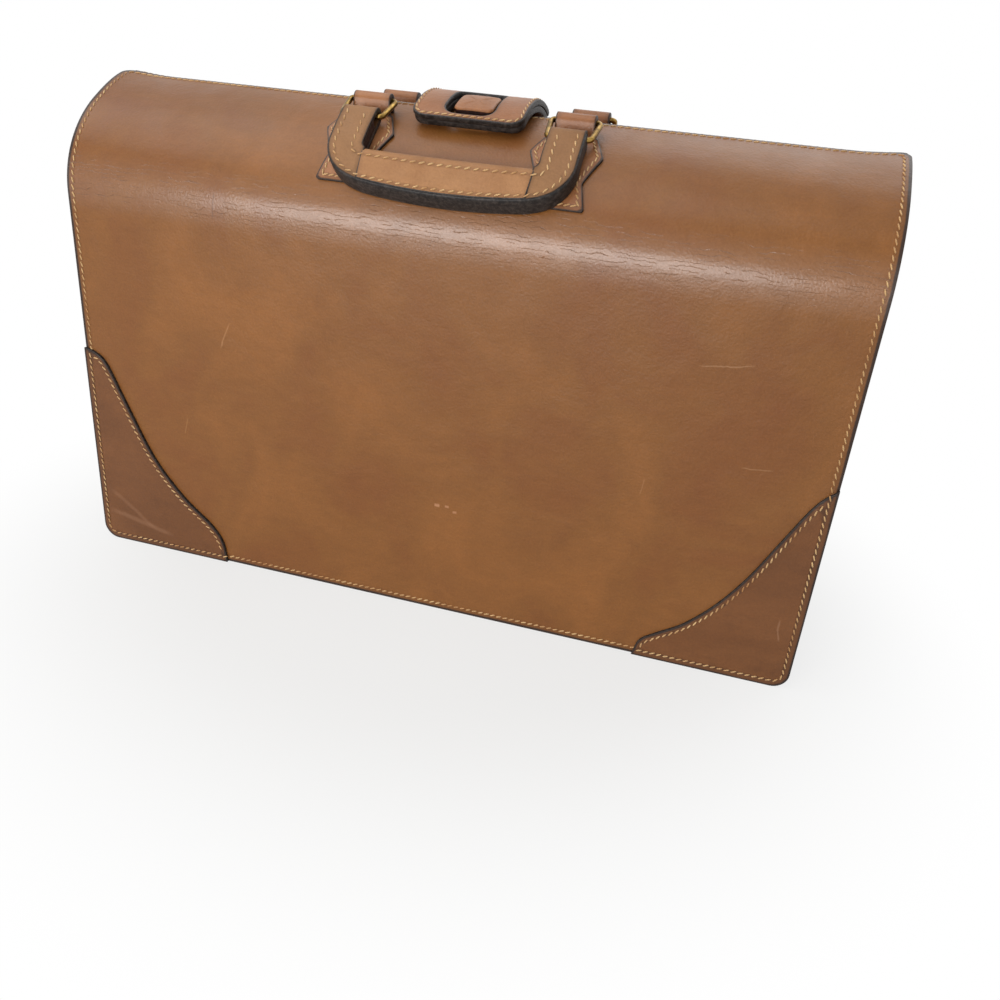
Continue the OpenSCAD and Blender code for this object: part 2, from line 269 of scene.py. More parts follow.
def nearest(points, lines):  # distance from each point to the nearest of some lines
    best = np.full(len(points), 1.0)
    for line in lines:
        line = np.array([tuple(p)[:2] for p in line])
        for a, b in zip(line, line[1:]):
            d = b - a
            t = np.clip(((points - a) @ d) / max(1e-12, d @ d), 0, 1)
            best = np.minimum(best, np.linalg.norm(points - (a + t[:, None] * d), axis=1))
    return best


def closedLine(points):
    return list(points) + [points[0]]


def markWear(mesh, rim, seam):  # how far each point is from the cut edge and from the stitching, for the materials
    for name, values in (("rim", rim), ("seam", seam)):
        layer = mesh.attributes.new(name, "FLOAT", "POINT")
        layer.data.foreach_set("value", np.full(len(mesh.vertices), values, np.float32))


def addBevel(piece, width, segments, limit, angle=30):
    bevel = piece.modifiers.new("bevel", "BEVEL")
    bevel.width, bevel.segments, bevel.limit_method = width, segments, limit
    bevel.angle_limit = math.radians(angle)
    return bevel


def thicken(piece, look):  # gives a flat piece its thickness and a rounded rim
    wall = piece.modifiers.new("thickness", "SOLIDIFY")
    wall.thickness, wall.offset, wall.material_offset_rim = look["thickness"], -1, 1
    addBevel(piece, look.get("rounding", 0.0006), 2, "ANGLE", look.get("sharp", 55)).material = 1
    for material in (look["face"], look["rim"]):
        piece.data.materials.append(material)
    applyAll(piece)


def finishFlat(piece, outlines, look, place, lift):  # thickness, wear, flat UV map, then bent to where it belongs
    if piece.data.polygons[0].normal.z < 0:
        piece.data.flip_normals()
    thicken(piece, look)
    mesh = piece.data
    flat = np.array([v.co for v in mesh.vertices])
    markWear(mesh, nearest(flat[:, :2], [closedLine(outline) for outline in outlines]),
             nearest(flat[:, :2], look.get("rows", [])))
    layer = mesh.uv_layers.active or mesh.uv_layers.new(name="flat")
    corners = np.zeros(len(mesh.loops), int)
    mesh.loops.foreach_get("vertex_index", corners)
    layer.data.foreach_set("uv", flat[corners, :2].astype(np.float32).ravel())
    for vertex in mesh.vertices:
        vertex.co = place(vertex.co.x, vertex.co.y, vertex.co.z + lift)
    mesh.update()
    smooth(piece)
    return piece


rimRuling = 0.0016  # the ruling that keeps a rim tight
unworn = (0.02, 1.0)  # far from any cut edge and any stitching


def every(step, low, high):  # rulings a step apart, and one near each end
    count = max(1, round((high - low) / step))
    return [low + rimRuling] + [low + (high - low) * i / count for i in range(1, count)] + [high - rimRuling]


def cutLeather(name, outline, look, place, lift=0.0):
    # cut from a flat hide: the outline is drawn, ruled into a grid so that it can bend, and finished
    deselect()
    bpy.ops.mesh.primitive_circle_add(vertices=len(outline), radius=0.1, fill_type="NGON")
    piece = named(name)
    for vertex, point in zip(piece.data.vertices, outline):
        vertex.co = (point[0], point[1], 0)
    cuts = []
    for axis, rule in enumerate(look["rules"]):  # a step, or a function that gives the places
        low, high = min(p[axis] for p in outline), max(p[axis] for p in outline)
        for ruling in rule(low, high) if callable(rule) else every(rule, low, high):
            cuts.append(partial(bpy.ops.mesh.bisect, plane_co=(ruling, ruling, 0), plane_no=(1 - axis, axis, 0)))
    inEditMode(*cuts)
    return finishFlat(piece, [outline], look, place, lift)


# stitches: one waxed stitch is modelled and copied along every row

thread = {
    "length": 0.0032,
    "width": 0.00085,
    "height": 0.0008,
    "slant": 21,        # degrees that a saddle stitch leans from its row
    "pitch": 0.0037,
    "handlePitch": 0.0045,
    "chapePitch": 0.0033,
    "proud": 0.00012,
}


def makeStitch():
    deselect()
    bpy.ops.mesh.primitive_uv_sphere_add(segments=8, ring_count=8, radius=0.5, rotation=(0, math.pi / 2, 0))
    stitch = bpy.context.object
    bpy.ops.object.transform_apply(location=False, rotation=True, scale=False)
    for vertex in stitch.data.vertices:
        x, y, z = vertex.co
        # blunter at its ends than a ball drawn out
        fullness = (1 - abs(2 * x) ** 3.2) ** 0.5 / max(1e-6, (1 - (2 * x) ** 2) ** 0.5) if abs(x) < 0.499 else 1
        vertex.co = (x * thread["length"], y * thread["width"] * fullness, z * thread["height"] * fullness)
    return stitch


stitchPiece = makeStitch()
stitchPoints = [tuple(v.co) for v in stitchPiece.data.vertices]
stitchFaces = [list(p.vertices) for p in stitchPiece.data.polygons]
stitchUvs = [tuple(corner.uv) for corner in stitchPiece.data.uv_layers.active.data]
bpy.data.objects.remove(stitchPiece)


def lengthsAlong(points):
    lengths = [0.0]
    for a, b in zip(points, points[1:]):
        lengths.append(lengths[-1] + (b - a).length)
    return lengths


def stitchRow(path, place, lift, pitch, closed=False):  # the points of each stitch, which stitchPieces joins
    points = [Vector(p[:2]) for p in path]
    if closed:
        points.append(points[0])
    lengths = lengthsAlong(points)
    count = max(1, round(lengths[-1] / pitch))
    rows = []
    for k in range(count):
        along = (k + 0.5) * lengths[-1] / count
        i = max(j for j in range(len(points) - 1) if lengths[j] <= along)
        share = (along - lengths[i]) / max(1e-9, lengths[i + 1] - lengths[i])
        middle = points[i].lerp(points[i + 1], share)
        run = points[i + 1] - points[i]
        turn = math.atan2(run.y, run.x) + math.radians(thread["slant"] + random.uniform(-4, 4))
        size = random.uniform(0.93, 1.04)
        c, s = math.cos(turn), math.sin(turn)
        height = lift(middle.x, middle.y) if callable(lift) else lift
        rows.append([place(middle.x + size * p[0] * c - p[1] * s, middle.y + size * p[0] * s + p[1] * c,
                           height + thread["proud"] + p[2]) for p in stitchPoints])
    return rows


def stitchPieces(name, rows, material):
    points, faces, uvs = [], [], []
    for row in rows:
        base = len(points)
        points += row
        faces += [[base + i for i in face] for face in stitchFaces]
        uvs += stitchUvs
    mesh = bpy.data.meshes.new(name)
    mesh.from_pydata(points, [], faces)
    layer = mesh.uv_layers.new(name="twist")
    layer.data.foreach_set("uv", [value for uv in uvs for value in uv])
    mesh.materials.append(material)
    mesh.shade_smooth()
    return newObject(name, mesh)


# materials: short names for the nodes they share

def coordinates(tree, kind):
    return addNode(tree, "ShaderNodeTexCoord").outputs[kind]


def scaled(tree, vector, across):  # stretched sideways
    return addNode(tree, "ShaderNodeMapping", {"Vector": vector, "Scale": (across, 1.0, 1.0)}).outputs[0]


def axes(tree, vector):
    return addNode(tree, "ShaderNodeSeparateXYZ", {"Vector": vector}).outputs


def noise(tree, vector, scale, output="Fac", **inputs):
    values = {name.capitalize(): value for name, value in inputs.items()}
    return addNode(tree, "ShaderNodeTexNoise", {"Vector": vector, "Scale": scale, **values}).outputs[output]


def maths(tree, operation, *values, **settings):
    return addNode(tree, "ShaderNodeMath", dict(enumerate(values)), operation=operation, **settings).outputs[0]


def ranged(tree, value, span, result=(0.0, 1.0), curve="LINEAR"):
    return addNode(tree, "ShaderNodeMapRange", {
        "Value": value, "From Min": span[0], "From Max": span[1], "To Min": result[0], "To Max": result[1],
    }, interpolation_type=curve).outputs[0]


def softly(tree, value, span, result=(0.0, 1.0)):
    return ranged(tree, value, span, result, "SMOOTHSTEP")


def mixed(tree, share, colour, other):  # the other colour is written as hex
    return addNode(tree, "ShaderNodeMix", {0: share, 6: colour, 7: linearColour(other)}, data_type="RGBA").outputs[2]


def shaded(tree, colour, value):
    return addNode(tree, "ShaderNodeHueSaturation", {"Color": colour, "Value": value}).outputs[0]


def toneRamp(tree, value, *stops):  # each stop is (place, hex colour)
    node = addNode(tree, "ShaderNodeValToRGB", {"Fac": value})
    elements = node.color_ramp.elements
    elements[0].position, elements[1].position = stops[0][0], stops[-1][0]
    elements[0].color, elements[1].color = linearColour(stops[0][1]), linearColour(stops[-1][1])
    for at, colour in stops[1:-1]:
        elements.new(at).color = linearColour(colour)
    return node.outputs[0]


def bump(tree, height, strength, distance, below=None, inwards=False):
    values = {"Height": height, "Strength": strength, "Distance": distance}
    if below:
        values["Normal"] = below
    return addNode(tree, "ShaderNodeBump", values, invert=inwards).outputs[0]


# Vegetable-tanned bridle leather, hand-waxed and aged: mid-brown with cloudy darker patches,
# fine grain, a soft waxy sheen, and wrinkles where it bends over the shoulder.
leather = {  # what each leather starts from; shares of 1, lengths in metres
    "clouds": 0.45,
    "rimWidth": 0.006,     # how far in the rim is darkened by burnishing and handling
    "rimShade": 0.55,
    "paint": 0.0005,       # how far edge paint has run onto the face
    "groove": 0.45,        # how dark the pressed line of the stitches is
    "roughLow": 0.42,
    "roughHigh": 0.56,
    "wax": 0.30,
    "waxRough": 0.26,
    "wrinkles": 0.0,
    "marks": (),
}


def tannedLeather(name, changes):
    look = {**leather, **changes}
    material, tree, shader = newMaterial(name)
    place = coordinates(tree, "Object")
    rim, seam = (addNode(tree, "ShaderNodeAttribute", attribute_name=layer).outputs["Fac"] for layer in ("rim", "seam"))
    # clouds some 60 mm and 22 mm across, as the dye took
    broad = noise(tree, place, 16.0, detail=3.0, roughness=0.55, distortion=0.7)
    tone = toneRamp(tree, broad, *zip((0.27, 0.5, 0.74), look["tones"]))
    clouds = noise(tree, place, 45.0, detail=4.0, roughness=0.6, distortion=0.3)
    colour = mixed(tree, softly(tree, clouds, (0.52, 0.78), (0.0, look["clouds"])), tone, look["stain"])
    # faint streaks along the hide, some 3 mm apart
    streaks = noise(tree, scaled(tree, place, 0.35), 210.0, detail=4.0, roughness=0.7)
    speck = maths(tree, "ADD", streaks, noise(tree, place, 900.0, detail=2.0))
    colour = shaded(tree, colour, ranged(tree, speck, (0.6, 1.4), (0.89, 1.11)))
    worn = softly(tree, rim, (0.0004, look["rimWidth"]), (look["rimShade"], 0.0))
    colour = mixed(tree, worn, colour, look["burnish"])
    # the clouds also make the painted edge ragged, by up to about a millimetre
    inward = maths(tree, "SUBTRACT", rim, maths(tree, "MULTIPLY", clouds, 0.0012))
    painted = ranged(tree, inward, (look["paint"] - 0.0004, look["paint"] + 0.0002), (0.9, 0.0))
    colour = mixed(tree, painted, colour, "#1d1411")
    groove = softly(tree, seam, (0.0003, 0.0013), (look["groove"], 0.0))
    colour = mixed(tree, groove, colour, look["burnish"])
    # pores 1.1 mm apart, drawn at their real size; the wax lies smoother than the grain
    pores = addNode(tree, "ShaderNodeTexVoronoi", {"Vector": place, "Scale": 900.0},
                    feature="SMOOTH_F1").outputs["Distance"]
    grained = bump(tree, clouds, 0.35, 0.003, bump(tree, pores, 0.30, 0.0004))
    grained = bump(tree, groove, 0.8, 0.0004, grained, inwards=True)
    waxed = bump(tree, pores, 0.10, 0.0004)
    wax = look["wax"]
    if look["wrinkles"]:
        # fine cracks some 2.2 mm apart, in short lengths along the hide, where the wall bends into the shoulder
        fray = noise(tree, place, 420.0, "Color", detail=2.0)
        frayed = addNode(tree, "ShaderNodeMix", {0: 0.0012, 4: place, 5: fray}, data_type="VECTOR").outputs[1]
        cracks = addNode(tree, "ShaderNodeTexWave", {
            "Vector": scaled(tree, frayed, 0.4), "Scale": 145.0, "Distortion": 8.0, "Detail": 2.0,
            "Detail Scale": 1.1, "Detail Roughness": 0.55}, wave_type="BANDS", bands_direction="Z").outputs["Fac"]
        gaps = noise(tree, scaled(tree, place, 0.35), 290.0, detail=2.0)
        height = axes(tree, place)["Z"]
        band = maths(tree, "MULTIPLY", softly(tree, height, (0.198, 0.209)),
                     softly(tree, height, (0.221, 0.232), (1.0, 0.0)))
        here = maths(tree, "MULTIPLY", band, ranged(tree, gaps, (0.46, 0.60)))
        wrinkles = maths(tree, "MULTIPLY", ranged(tree, cracks, (0.955, 0.995)), here)
        colour = mixed(tree, maths(tree, "MULTIPLY", wrinkles, look["wrinkles"]), colour, look["burnish"])
        grained, waxed = (bump(tree, wrinkles, 0.4, 0.0005, below, inwards=True) for below in (grained, waxed))
        # handling has polished the same bend, unevenly
        polish = maths(tree, "MULTIPLY", band, ranged(tree, speck, (0.75, 1.15), (0.75, 1.0)))
        wax = ranged(tree, polish, (0.0, 1.0), (wax, 1.0))
    for x, z, turn, length, width, share, tint in look["marks"]:
        # an old scratch, not quite straight: pale where the grain is broken, on the back half only
        turned = axes(tree, addNode(tree, "ShaderNodeMapping", {
            "Vector": place, "Location": (x, 0, z), "Rotation": (0, -math.radians(turn), 0),
        }, vector_type="TEXTURE").outputs[0])
        across = maths(tree, "ADD", turned["Z"], maths(tree, "MULTIPLY", clouds, 0.004))
        wide = maths(tree, "ABSOLUTE", maths(tree, "SUBTRACT", across, 0.002))
        thin = ranged(tree, wide, (width * 0.3, width), (share, 0.0))
        ends = ranged(tree, maths(tree, "ABSOLUTE", turned["X"]), (length * 0.35, length * 0.5), (1.0, 0.0))
        back = maths(tree, "LESS_THAN", axes(tree, place)["Y"], -0.03)
        colour = mixed(tree, maths(tree, "MULTIPLY", maths(tree, "MULTIPLY", thin, ends), back), colour, tint)
    setInputs(tree, shader, {
        "Base Color": colour, "Roughness": ranged(tree, clouds, (0.3, 0.7), (look["roughLow"], look["roughHigh"])),
        "Normal": grained, "Coat Normal": waxed, "Coat Weight": wax, "Coat Roughness": look["waxRough"],
        "IOR": 1.45, "Specular IOR Level": 0.22})
    return material


# One noise through two tones: edge paint over burnished fibres, and the hidden board, steel and wood
def mottled(name, scale, tones, finish, harshness=0.5, relief=None):
    material, tree, shader = newMaterial(name)
    spots = noise(tree, coordinates(tree, "Object"), scale, detail=4.0, roughness=harshness)
    setInputs(tree, shader, {"Base Color": toneRamp(tree, spots, *tones), **finish})
    if relief:
        setInputs(tree, shader, {"Normal": bump(tree, spots, *relief)})
    return material


def edgePaint(name, dark, fibre):  # near black, slightly glossy, with the plies just showing
    return mottled(name, 520.0, ((0.42, dark), (0.78, fibre)), {"Roughness": 0.48, "Specular IOR Level": 0.3},
                   0.7, (0.6, 0.0005))


def plainHidden(name, dark, light, scale, metal, rough):
    return mottled(name, scale, ((0.35, dark), (0.65, light)), {"Metallic": metal, "Roughness": rough})


# Drawn brass wire, once polished, with brown tarnish in its hollows
def tarnishedBrass():
    material, tree, shader = newMaterial("drawnBrassWire")
    spots = noise(tree, coordinates(tree, "Object"), 260.0, detail=4.0, roughness=0.65)
    setInputs(tree, shader, {
        "Base Color": toneRamp(tree, spots, (0.35, "#5c4623"), (0.65, "#a58547")), "Metallic": 1.0,
        "Roughness": ranged(tree, spots, (0.3, 0.7), (0.42, 0.24)), "Normal": bump(tree, spots, 0.15, 0.0003)})
    return material


# Twisted or woven yarn: diagonal plies on the UV map over tones that change slowly
def yarn(name, plies, age, tones, paintedPlyShading, relief, finish):
    material, tree, shader = newMaterial(name)
    lines = addNode(tree, "ShaderNodeTexWave", {"Vector": coordinates(tree, "UV"), **plies},
                    bands_direction="DIAGONAL").outputs["Fac"]
    tone = toneRamp(tree, noise(tree, coordinates(tree, "Object"), age[0], detail=age[1]), *tones)
    # the lines darken the colour between the plies, painted shade, and where the range passes 1 they lighten the
    # crests, painted highlight
    setInputs(tree, shader, {"Base Color": shaded(tree, tone, ranged(tree, lines, (0.0, 1.0), paintedPlyShading)),
                             "Normal": bump(tree, lines, *relief), **finish})
    return material


panelMarks = (  # x and z on the back, turn from level in degrees, length, width, share and colour
    (-0.1235, 0.2115, 84, 0.014, 0.0006, 0.5, "#5d3b24"),
    (-0.1200, 0.1430, 68, 0.017, 0.0006, 0.3, "#b98a5e"),
    (0.1460, 0.1708, 8, 0.027, 0.0005, 0.24, "#c79d78"),
    (0.1700, 0.1212, 7, 0.016, 0.0005, 0.22, "#c1946b"),
    (0.0068, 0.0669, 0, 0.0034, 0.0013, 0.6, "#c08c68"),
    (0.0125, 0.0672, 0, 0.0026, 0.0010, 0.5, "#c08c68"),
    (0.0172, 0.0645, 0, 0.0026, 0.0011, 0.5, "#c08c68"),
    (0.1160, 0.1010, 82, 0.010, 0.0005, 0.22, "#b98a5e"),
    (-0.1480, 0.0850, 75, 0.011, 0.0006, 0.22, "#b0814f"),
)
patchMarks = (
    (0.1990, 0.0350, 98, 0.014, 0.0007, 0.22, "#b58a6c"),
    (-0.1830, 0.0150, -12, 0.046, 0.0022, 0.28, "#9a6f52"),
    (-0.1880, 0.0230, -38, 0.040, 0.0018, 0.25, "#94694c"),
)
panelLeather = tannedLeather("waxedBridleLeather", {
    "tones": ("#75451f", "#7c4e23", "#885628"), "stain": "#6b401f", "burnish": "#2e1a0f",
    "wrinkles": 0.30, "rimShade": 0.25, "groove": 0.30, "clouds": 0.25, "marks": panelMarks, "paint": 0.0010})
patchLeather = tannedLeather("bridleLeatherPatches", {
    "tones": ("#613a1b", "#6b4120", "#784b27"), "stain": "#543219", "burnish": "#22140c",
    "rimShade": 0.35, "rimWidth": 0.004, "marks": patchMarks, "paint": 0.0004})
legLeather = tannedLeather("bridleLeatherHandleLegs", {
    "tones": ("#80593a", "#8d6643", "#9b714c"), "stain": "#6b4b2e", "burnish": "#2e1a0f",
    "rimShade": 0.30, "rimWidth": 0.003, "groove": 0.25, "wax": 0.05, "roughLow": 0.5, "roughHigh": 0.66, "paint": 0.0})
gripLeather = tannedLeather("handWornGripLeather", {
    "tones": ("#8f623e", "#9d7049", "#ab7d54"), "stain": "#7e5433", "burnish": "#4a2c19",
    "rimShade": 0.20, "rimWidth": 0.003, "groove": 0.25, "wax": 0.05, "roughLow": 0.45, "roughHigh": 0.6, "paint": 0.0})
strapLeather = tannedLeather("smoothStrapLeather", {
    "tones": ("#855433", "#97633d", "#a67148"), "stain": "#6f4529", "burnish": "#2e1a0f",
    "rimShade": 0.3, "rimWidth": 0.004, "groove": 0.30, "paint": 0.0002})
foldLeather = tannedLeather("softGussetLeather", {
    "tones": ("#74492c", "#825333", "#8f5f3c"), "stain": "#623d25", "burnish": "#2b1a10",
    "groove": 0.0, "rimShade": 0.4, "wax": 0.1, "roughLow": 0.5, "roughHigh": 0.62})
blackEdge = edgePaint("burnishedBlackEdge", "#171413", "#4d4541")
darkEdge = edgePaint("burnishedBrownEdge", "#2a1a12", "#4a3020")
# dark red-brown, for the handle's core plate and the block's sides
redEdge = edgePaint("oxbloodDarkEdge", "#1d0c0a", "#3c1a14")
# waxed linen thread, three-ply twist: cream gone tan, a satin sheen, and painted shade between the plies
linenThread = yarn("waxedLinenThread", {"Scale": 2.2, "Distortion": 0.4}, (60.0, 3.0),
                   ((0.32, "#b5804a"), (0.68, "#e3bc85")), (0.72, 1.0), (0.5, 0.0003), {"Roughness": 0.5})
brass = tarnishedBrass()
# cotton twill lining, matt; its yarns are drawn 1.5 mm apart instead of 0.5, so that they show, with painted shade
# between them and a painted highlight on their crests
twill = yarn("wovenCottonTwill", {"Scale": 105.0, "Distortion": 0.6, "Detail": 1.0}, (30.0, 4.0),
             ((0.3, "#8d7552"), (0.7, "#b09468")), (0.8, 1.08), (0.5, 0.0004), {"Roughness": 0.9, "Sheen Weight": 0.25})
board = plainHidden("pressedFibreboard", "#6b5236", "#8a6c48", 300.0, 0.0, 0.85)
steel = plainHidden("sprungSteelStrip", "#6c6e70", "#8a8c8e", 120.0, 1.0, 0.4)
beech = plainHidden("turnedBeechFiller", "#a98256", "#c39a6b", 90.0, 0.0, 0.6)
print("materials made")


# panels, linings and facings

panel = {"stepX": 0.0105, "stepShoulder": 0.0028, "wallRows": 13, "seamInset": 0.0036}
halfWidth = case["width"] / 2


def panelRules(low, high):
    wall, count = case["wallHeight"], panel["wallRows"]
    rows = [low + rimRuling] + [low + (wall - low) * i / count for i in range(1, count)]
    count = round((high - wall) / panel["stepShoulder"])
    return rows + [wall + (high - wall) * i / count for i in range(count)] + [high - rimRuling]


panelCorners = rectangle(case["width"], 0, panelHeight, case["cornerRadius"], case["topCorner"])
edgePath = cornerRounds(insetCorners(panelCorners, panel["seamInset"]))
backPanel = cutLeather("backPanel", cornerRounds(panelCorners), {
    "rows": [closedLine(edgePath)], "rules": (panel["stepX"], panelRules),
    "thickness": case["panel"], "rounding": 0.0008, "face": panelLeather, "rim": darkEdge}, onCase)
frontPanel = copied(backPanel, "frontPanel", halfTurn)

facing = {"width": 0.026, "thickness": 0.003, "length": 0.3964, "corner": 0.001}
facingLow = lengthAtTurn(turnAtY(-facing["width"]))
facingCorners = rectangle(facing["length"], facingLow, panelHeight, facing["corner"], facing["corner"])
backFacing = cutLeather("backFacing", cornerRounds(facingCorners), {
    "thickness": facing["thickness"], "face": foldLeather, "rim": darkEdge, "rules": (0.02, 0.003)},
    onCase, -case["panel"])
frontFacing = copied(backFacing, "frontFacing", halfTurn)

lining = {"thickness": 0.0012, "bottom": 0.0165, "gap": 0.0005}
liningCorners = rectangle(facing["length"], lining["bottom"], facingLow - lining["gap"],
                          facing["corner"], facing["corner"])
backLining = cutLeather("backLining", cornerRounds(liningCorners), {
    "thickness": lining["thickness"], "rounding": 0.0003, "face": twill, "rim": twill,
    "rules": (0.03, lambda low, high: [0.05, 0.1, 0.15, 0.2] + [case["wallHeight"] + 0.0035 * i for i in range(20)])},
    onCase, -case["panel"])
frontLining = copied(backLining, "frontLining", halfTurn)
print("panels and linings shaped")


# corner patches

cornerPatch = {
    "thickness": 0.0018, "seamInset": 0.0026, "seamEnd": 0.0052, "step": 0.0035,
    # the hand-cut edge, from the side to the bottom, as distance from the side and height; the left one is fuller
    "right": [(0, 0.1185), (0.0093, 0.1085), (0.0204, 0.0867), (0.0320, 0.0630), (0.0452, 0.0424), (0.0599, 0.0262),
              (0.0735, 0.0165), (0.0815, 0.0100), (0.0845, 0)],
    "left": [(0, 0.1225), (0.0068, 0.1205), (0.0135, 0.1145), (0.0230, 0.0945), (0.0393, 0.0612), (0.0572, 0.0387),
             (0.0750, 0.0235), (0.0825, 0.0130), (0.0850, 0)],
}


def curveThrough(points, steps=5):  # a smooth line through a few points
    points = [Vector(p) for p in points]
    padded = [2 * points[0] - points[1]] + points + [2 * points[-1] - points[-2]]
    line = []
    for a, b, c, d in zip(padded, padded[1:], padded[2:], padded[3:]):
        for t in (i / steps for i in range(steps)):
            line.append(0.5 * (2 * b + (c - a) * t + (2 * a - 5 * b + 4 * c - d) * t ** 2
                               + (3 * b - a - 3 * c + d) * t ** 3))
    return line + [points[-1]]


def beside(line, distance):  # a line kept at one distance to the left of another
    result = []
    for i, p in enumerate(line):
        run = (line[min(i + 1, len(line) - 1)] - line[max(i - 1, 0)]).normalized()
        result.append(p + Vector((-run.y, run.x)) * distance)
    return result


def makePatch(name, side):
    cut = [Vector((halfWidth - p.x, p.y)) for p in curveThrough(cornerPatch[side])]
    corner = cornerRounds([(cut[-1].x, 0, 0), (halfWidth, 0, case["cornerRadius"]), (halfWidth, cut[0].y, 0)])
    end = cornerPatch["seamEnd"]
    seam = [p for p in beside(cut, cornerPatch["seamInset"]) if p.x < halfWidth - end and p.y > end]
    patch = cutLeather(name, [cut[-1]] + corner[1:-1] + cut[:-1], {
        "rows": [closedLine(edgePath), seam], "rules": (cornerPatch["step"], cornerPatch["step"]),
        "thickness": cornerPatch["thickness"], "face": patchLeather, "rim": blackEdge},
        onCase, cornerPatch["thickness"])
    return patch, cut, seam


patchRight, cutRight, seamRight = makePatch("cornerPatchBackRight", "right")
patchLeft, cutLeft, seamLeft = makePatch("cornerPatchLeftPattern", "left")
patches = atFourPlaces(patchRight, "cornerPatch", copied(patchLeft, "cornerPatchBackLeft", mirrorX))
bpy.data.objects.remove(patchLeft)
print("corner patches shaped")


# shaped patches, loops and rings that carry the handles

ring = {"legX": 0.053, "wire": 0.0028, "fit": 0.00005, "loopY": 0.020, "barLift": 0.0064,
        "loopWidth": 0.020, "loopThickness": 0.0022, "innerWidth": 0.022, "strap": 0.018, "sideFit": 0.0004,
        "bend": 0.0023, "sunk": 0.001}
handle = {"width": 0.124, "strip": 0.018, "length": 0.0466, "thickness": 0.0086, "skin": 0.002, "bend": 0.110,
          "touchSlope": 42, "topSlope": 32, "corner": 0.022, "wrap": 0.084, "chape": 0.0015, "gap": 0.0004}
touchTurn = turnAtSlope(handle["touchSlope"])
touchAt = lengthAtTurn(touchTurn)
loopCentre = Vector((-ring["loopY"], shoulderPoint(turnAtY(ring["loopY"]))[1] + ring["barLift"]))

chapeHalf = [(0.012, 0.024, 0.001), (0.018, 0.009, 0.0012), (0.0115, -0.007, 0.003), (0.015, -0.021, 0.0012)]
chapeCorners = [(x, y + touchAt, r) for x, y, r in chapeHalf[::-1]] \
    + [(-x, y + touchAt, r) for x, y, r in chapeHalf]
chapePath = cornerRounds(insetCorners(chapeCorners, 0.0025))  # from the top left corner down and round to the top right
first = next(i for i, p in enumerate(chapePath) if p.x < 0)
chapePath = chapePath[first:] + chapePath[:first]
chape = cutLeather("chapePatchBackRight", cornerRounds(chapeCorners), {
    "rows": [chapePath], "rules": (0.006, 0.0028),
    "thickness": handle["chape"], "rounding": 0.0005, "face": strapLeather, "rim": blackEdge}, onCase, handle["chape"])
chape.data.transform(Matrix.Translation((ring["legX"], 0, 0)))
chapes = atFourPlaces(chape, "chapePatch")

loopRadius = ring["wire"] / 2 + ring["fit"] + ring["loopThickness"]
loopNear, loopFar = (loopCentre.y - shoulderPoint(turnAtY(y))[1] + ring["sunk"]
                     for y in (loopCentre.x - loopRadius, loopCentre.x + loopRadius))


def onLoop(x, s, h):
    turned = s - loopNear
    if turned <= 0:
        return Vector((x, loopCentre.x - loopRadius - h, loopCentre.y + turned))
    if turned <= math.pi * loopRadius:
        turn, radius = turned / loopRadius, loopRadius + h
        return Vector((x, loopCentre.x - radius * math.cos(turn), loopCentre.y + radius * math.sin(turn)))
    return Vector((x, loopCentre.x + loopRadius + h, loopCentre.y - (turned - math.pi * loopRadius)))


loopCorners = rectangle(ring["loopWidth"], 0, loopNear + math.pi * loopRadius + loopFar)
loop = cutLeather("chapeLoopBackRight", cornerRounds(loopCorners), {
    "thickness": ring["loopThickness"], "rounding": 0.0005, "face": strapLeather, "rim": darkEdge,
    "rules": (0.005, 0.0008)}, onLoop)
loop.data.transform(Matrix.Translation((ring["legX"], 0, 0)))
loops = atFourPlaces(loop, "chapeLoop")

eyeRadius = handle["thickness"] / 2
handleCentre = Vector(shoulderPoint(touchTurn)) \
    + (handle["chape"] + handle["gap"] + eyeRadius - handle["bend"]) * Vector(shoulderNormal(touchTurn))
eyeSlope = math.radians(handle["topSlope"]) + (eyeRadius - 0.0002) / handle["bend"]
lowSlope = math.radians(handle["topSlope"]) + handle["length"] / handle["bend"]
eyeAlong = (lowSlope - eyeSlope) * handle["bend"]


def outwards(slope):
    return Vector((-math.sin(slope), math.cos(slope)))


eyeCentre = handleCentre + handle["bend"] * outwards(eyeSlope)


def makeRing():  # bent from one wire: a frame is drawn flat, its corners rounded, and the line given its thickness
    run = eyeCentre - loopCentre
    near = ring["strap"] / 2 + ring["sideFit"] + ring["wire"] / 2
    far = ring["innerWidth"] / 2 + ring["wire"] / 2
    outline = cornerRounds([(-far, 0, ring["bend"]), (-near, run.length, ring["bend"]),
                            (near, run.length, ring["bend"]), (far, 0, ring["bend"])])
    deselect()
    bpy.ops.mesh.primitive_circle_add(vertices=len(outline), radius=0.01, fill_type="NOTHING")
    wire = bpy.context.object
    for vertex, point in zip(wire.data.vertices, outline):
        vertex.co = (ring["legX"] + point.x, loopCentre.x + run.x / run.length * point.y,
                     loopCentre.y + run.y / run.length * point.y)
    bpy.ops.object.convert(target="CURVE")
    wire.data.bevel_depth = ring["wire"] / 2
    wire.data.bevel_resolution = 5
    bpy.ops.object.convert(target="MESH")
    wire = named("ringBackRight")
    wire.data.materials.clear()
    wire.data.materials.append(brass)
    wire.data.shade_smooth()
    return wire


rings = atFourPlaces(makeRing(), "ring")
print("patches, loops and rings shaped")


# handles

edge = {
    "sag": 0.0012,         # how far the middle of the lower edge hangs below the straight line
    "rise": 0.0034,        # how much higher its ends are than its middle
    "halfLength": 0.045,
    "fade": 0.022,
    "inset": 0.0006,       # from the top skin's line to where the black roll starts
    "outset": 0.0003,
    "lowOutset": 0.0016,
    "thicker": 0.0002,
    "lowThicker": 0.0027,
}


def lowerEdge(x):
    return edge["sag"] - edge["rise"] * min(1, (x / edge["halfLength"]) ** 2)


